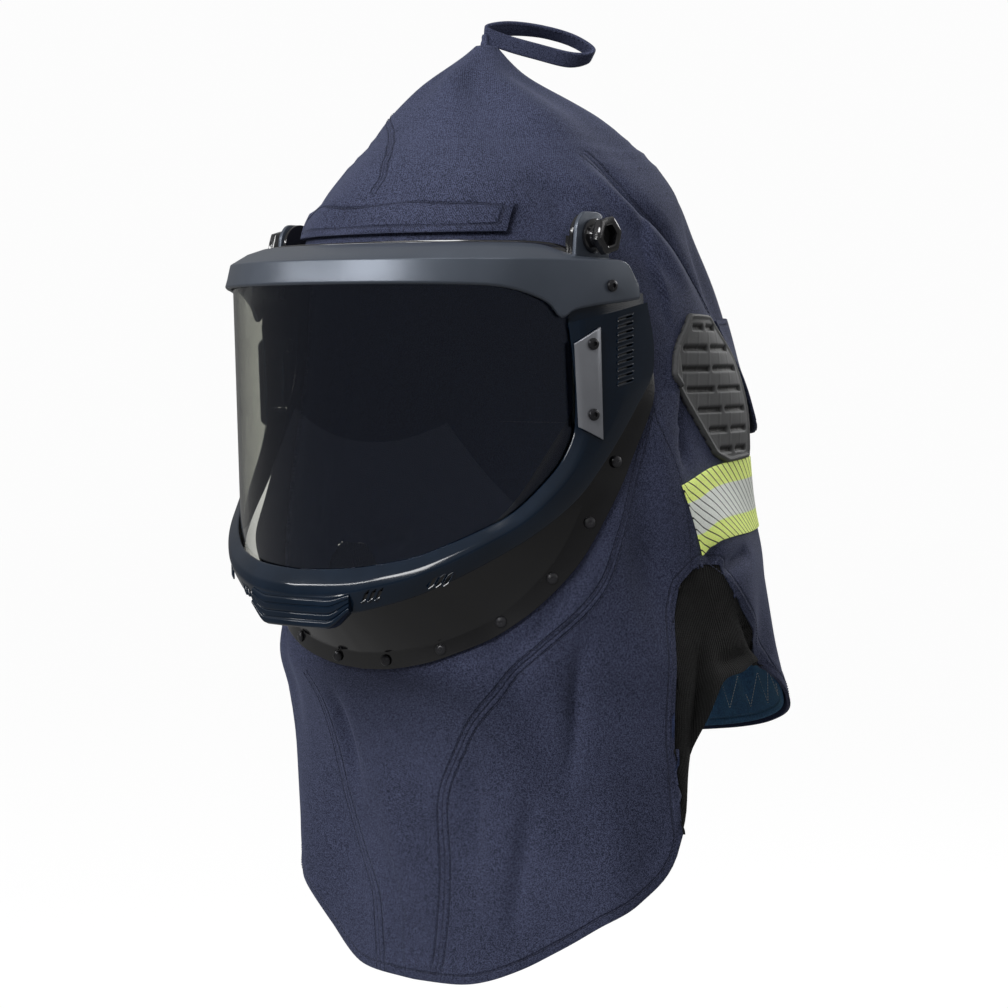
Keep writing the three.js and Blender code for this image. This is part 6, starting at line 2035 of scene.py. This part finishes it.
class HOOD_OT_stage(bpy.types.Operator):
    """Set up the pale floor, the soft lights and the camera"""
    bl_idname = "hood.stage"
    bl_label = "Stage"

    def execute(self, context):
        stage = context.scene.hood_stage
        pale = tuple(stage.pale)
        level = -HOOD_DROP - stage.drop * 1000
        corners = [(x * FLOOR_HALF, y * FLOOR_HALF, level) for x, y in ((-1, -1), (1, -1), (1, 1), (-1, 1))]
        floor = mesh_object("floor", corners, [(0, 1, 2, 3)])
        material, tree, shader, _ = new_material("floor_paint")
        floor.data.materials.append(material)
        tree.settle(shader, {
            "Base Color": rgba(pale, 0.1), "Roughness": 0.8, "Specular IOR Level": 0.1,
            "Emission Color": rgba(pale),
            "Emission Strength": tree.ramp(seen_straight(tree), 0.0, 1.0, stage.fill * 0.55, 1.0),
        })
        self.surroundings(context, pale, stage.fill)
        lights = (
            ("key_softbox", (0.3, -2.3, 1.2), 1.2, 0.8, stage.key),
            ("front_softbox", (-1.2, -2.2, 0.95), 2.0, 0.22, stage.key * 0.55),
            ("crest_softbox", (0.35, -0.45, 2.2), 0.9, 0.5, stage.key * 0.2),
            ("side_softbox", (2.0, 1.4, 0.6), 0.9, 0.9, stage.key * 0.08),
            ("back_softbox", (0.4, 2.4, 0.9), 1.4, 1.0, stage.key * 0.5),
        )
        for name, spot, width, height, power in lights:
            data = bpy.data.lights.new(name, "AREA")
            data.shape = "RECTANGLE"
            data.size, data.size_y, data.energy = width, height, power
            obj = bpy.data.objects.new(name, data)
            obj.location = spot
            obj.rotation_mode = "QUATERNION"
            obj.rotation_quaternion = (Vector((0, 0, -0.25)) - Vector(spot)).to_track_quat("-Z", "Y")
            context.scene.collection.objects.link(obj)
        data = bpy.data.cameras.new("camera")
        data.sensor_width, data.lens = 36, 93.18
        camera = bpy.data.objects.new("camera", data)
        camera.location = (1.2003, -1.4028, -0.145)
        camera.rotation_euler = Euler((math.radians(86.86), 0, math.radians(40)))
        context.scene.collection.objects.link(camera)
        context.scene.camera = camera
        context.scene.view_settings.view_transform = "Standard"
        return {"FINISHED"}

    def surroundings(self, context, pale, fill):
        """Pale surroundings, seen and looked through at full strength and softer as a light."""
        world = bpy.data.worlds.new("surroundings")
        context.scene.world = world
        world.use_nodes = True
        tree = Tree(world.node_tree)
        direct = seen_straight(tree)
        heading = tree.node("ShaderNodeTexCoord").outputs["Generated"]
        height = tree.node("ShaderNodeSeparateXYZ", {"Vector": heading}).outputs["Z"]
        soft = tree.ramp(height, 0.0, 0.6, fill * 0.55, fill * 1.4)
        background = world.node_tree.nodes["Background"]
        background.inputs["Color"].default_value = rgba(pale)
        tree.put(background.inputs["Strength"], tree.most(tree.mul(direct, 1.05), soft))


class HOOD_PT_panel(bpy.types.Panel):
    bl_label = "Arc flash hood"
    bl_idname = "HOOD_PT_panel"
    bl_space_type = "VIEW_3D"
    bl_region_type = "UI"
    bl_category = "Hood"

    def draw(self, context):
        for operator in OPERATORS:
            self.layout.operator(operator.bl_idname)
        for group in ("hood_cloth", "hood_visor", "hood_stage"):
            values = getattr(context.scene, group)
            box = self.layout.box()
            for key in values.__annotations__:
                box.prop(values, key)


OPERATORS = (HOOD_OT_cloth, HOOD_OT_tape, HOOD_OT_vents, HOOD_OT_face_frame, HOOD_OT_lens, HOOD_OT_brow,
             HOOD_OT_lower_frame, HOOD_OT_plates, HOOD_OT_fasteners, HOOD_OT_stage)
CLASSES = (HoodCloth, HoodVisor, HoodStage, *OPERATORS, HOOD_PT_panel)


def register():
    for entry in CLASSES:
        bpy.utils.register_class(entry)
    bpy.types.Scene.hood_cloth = PointerProperty(type=HoodCloth)
    bpy.types.Scene.hood_visor = PointerProperty(type=HoodVisor)
    bpy.types.Scene.hood_stage = PointerProperty(type=HoodStage)


def unregister():
    del bpy.types.Scene.hood_stage, bpy.types.Scene.hood_visor, bpy.types.Scene.hood_cloth
    for entry in reversed(CLASSES):
        bpy.utils.unregister_class(entry)


def main():
    register()
    for cube in [o for o in bpy.context.scene.objects if o.name in ("Cube", "Light", "Camera")]:
        bpy.data.objects.remove(cube)
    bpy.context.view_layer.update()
    for operator in OPERATORS:
        group, name = operator.bl_idname.split(".")
        getattr(getattr(bpy.ops, group), name)()


if __name__ == "__main__":
    main()
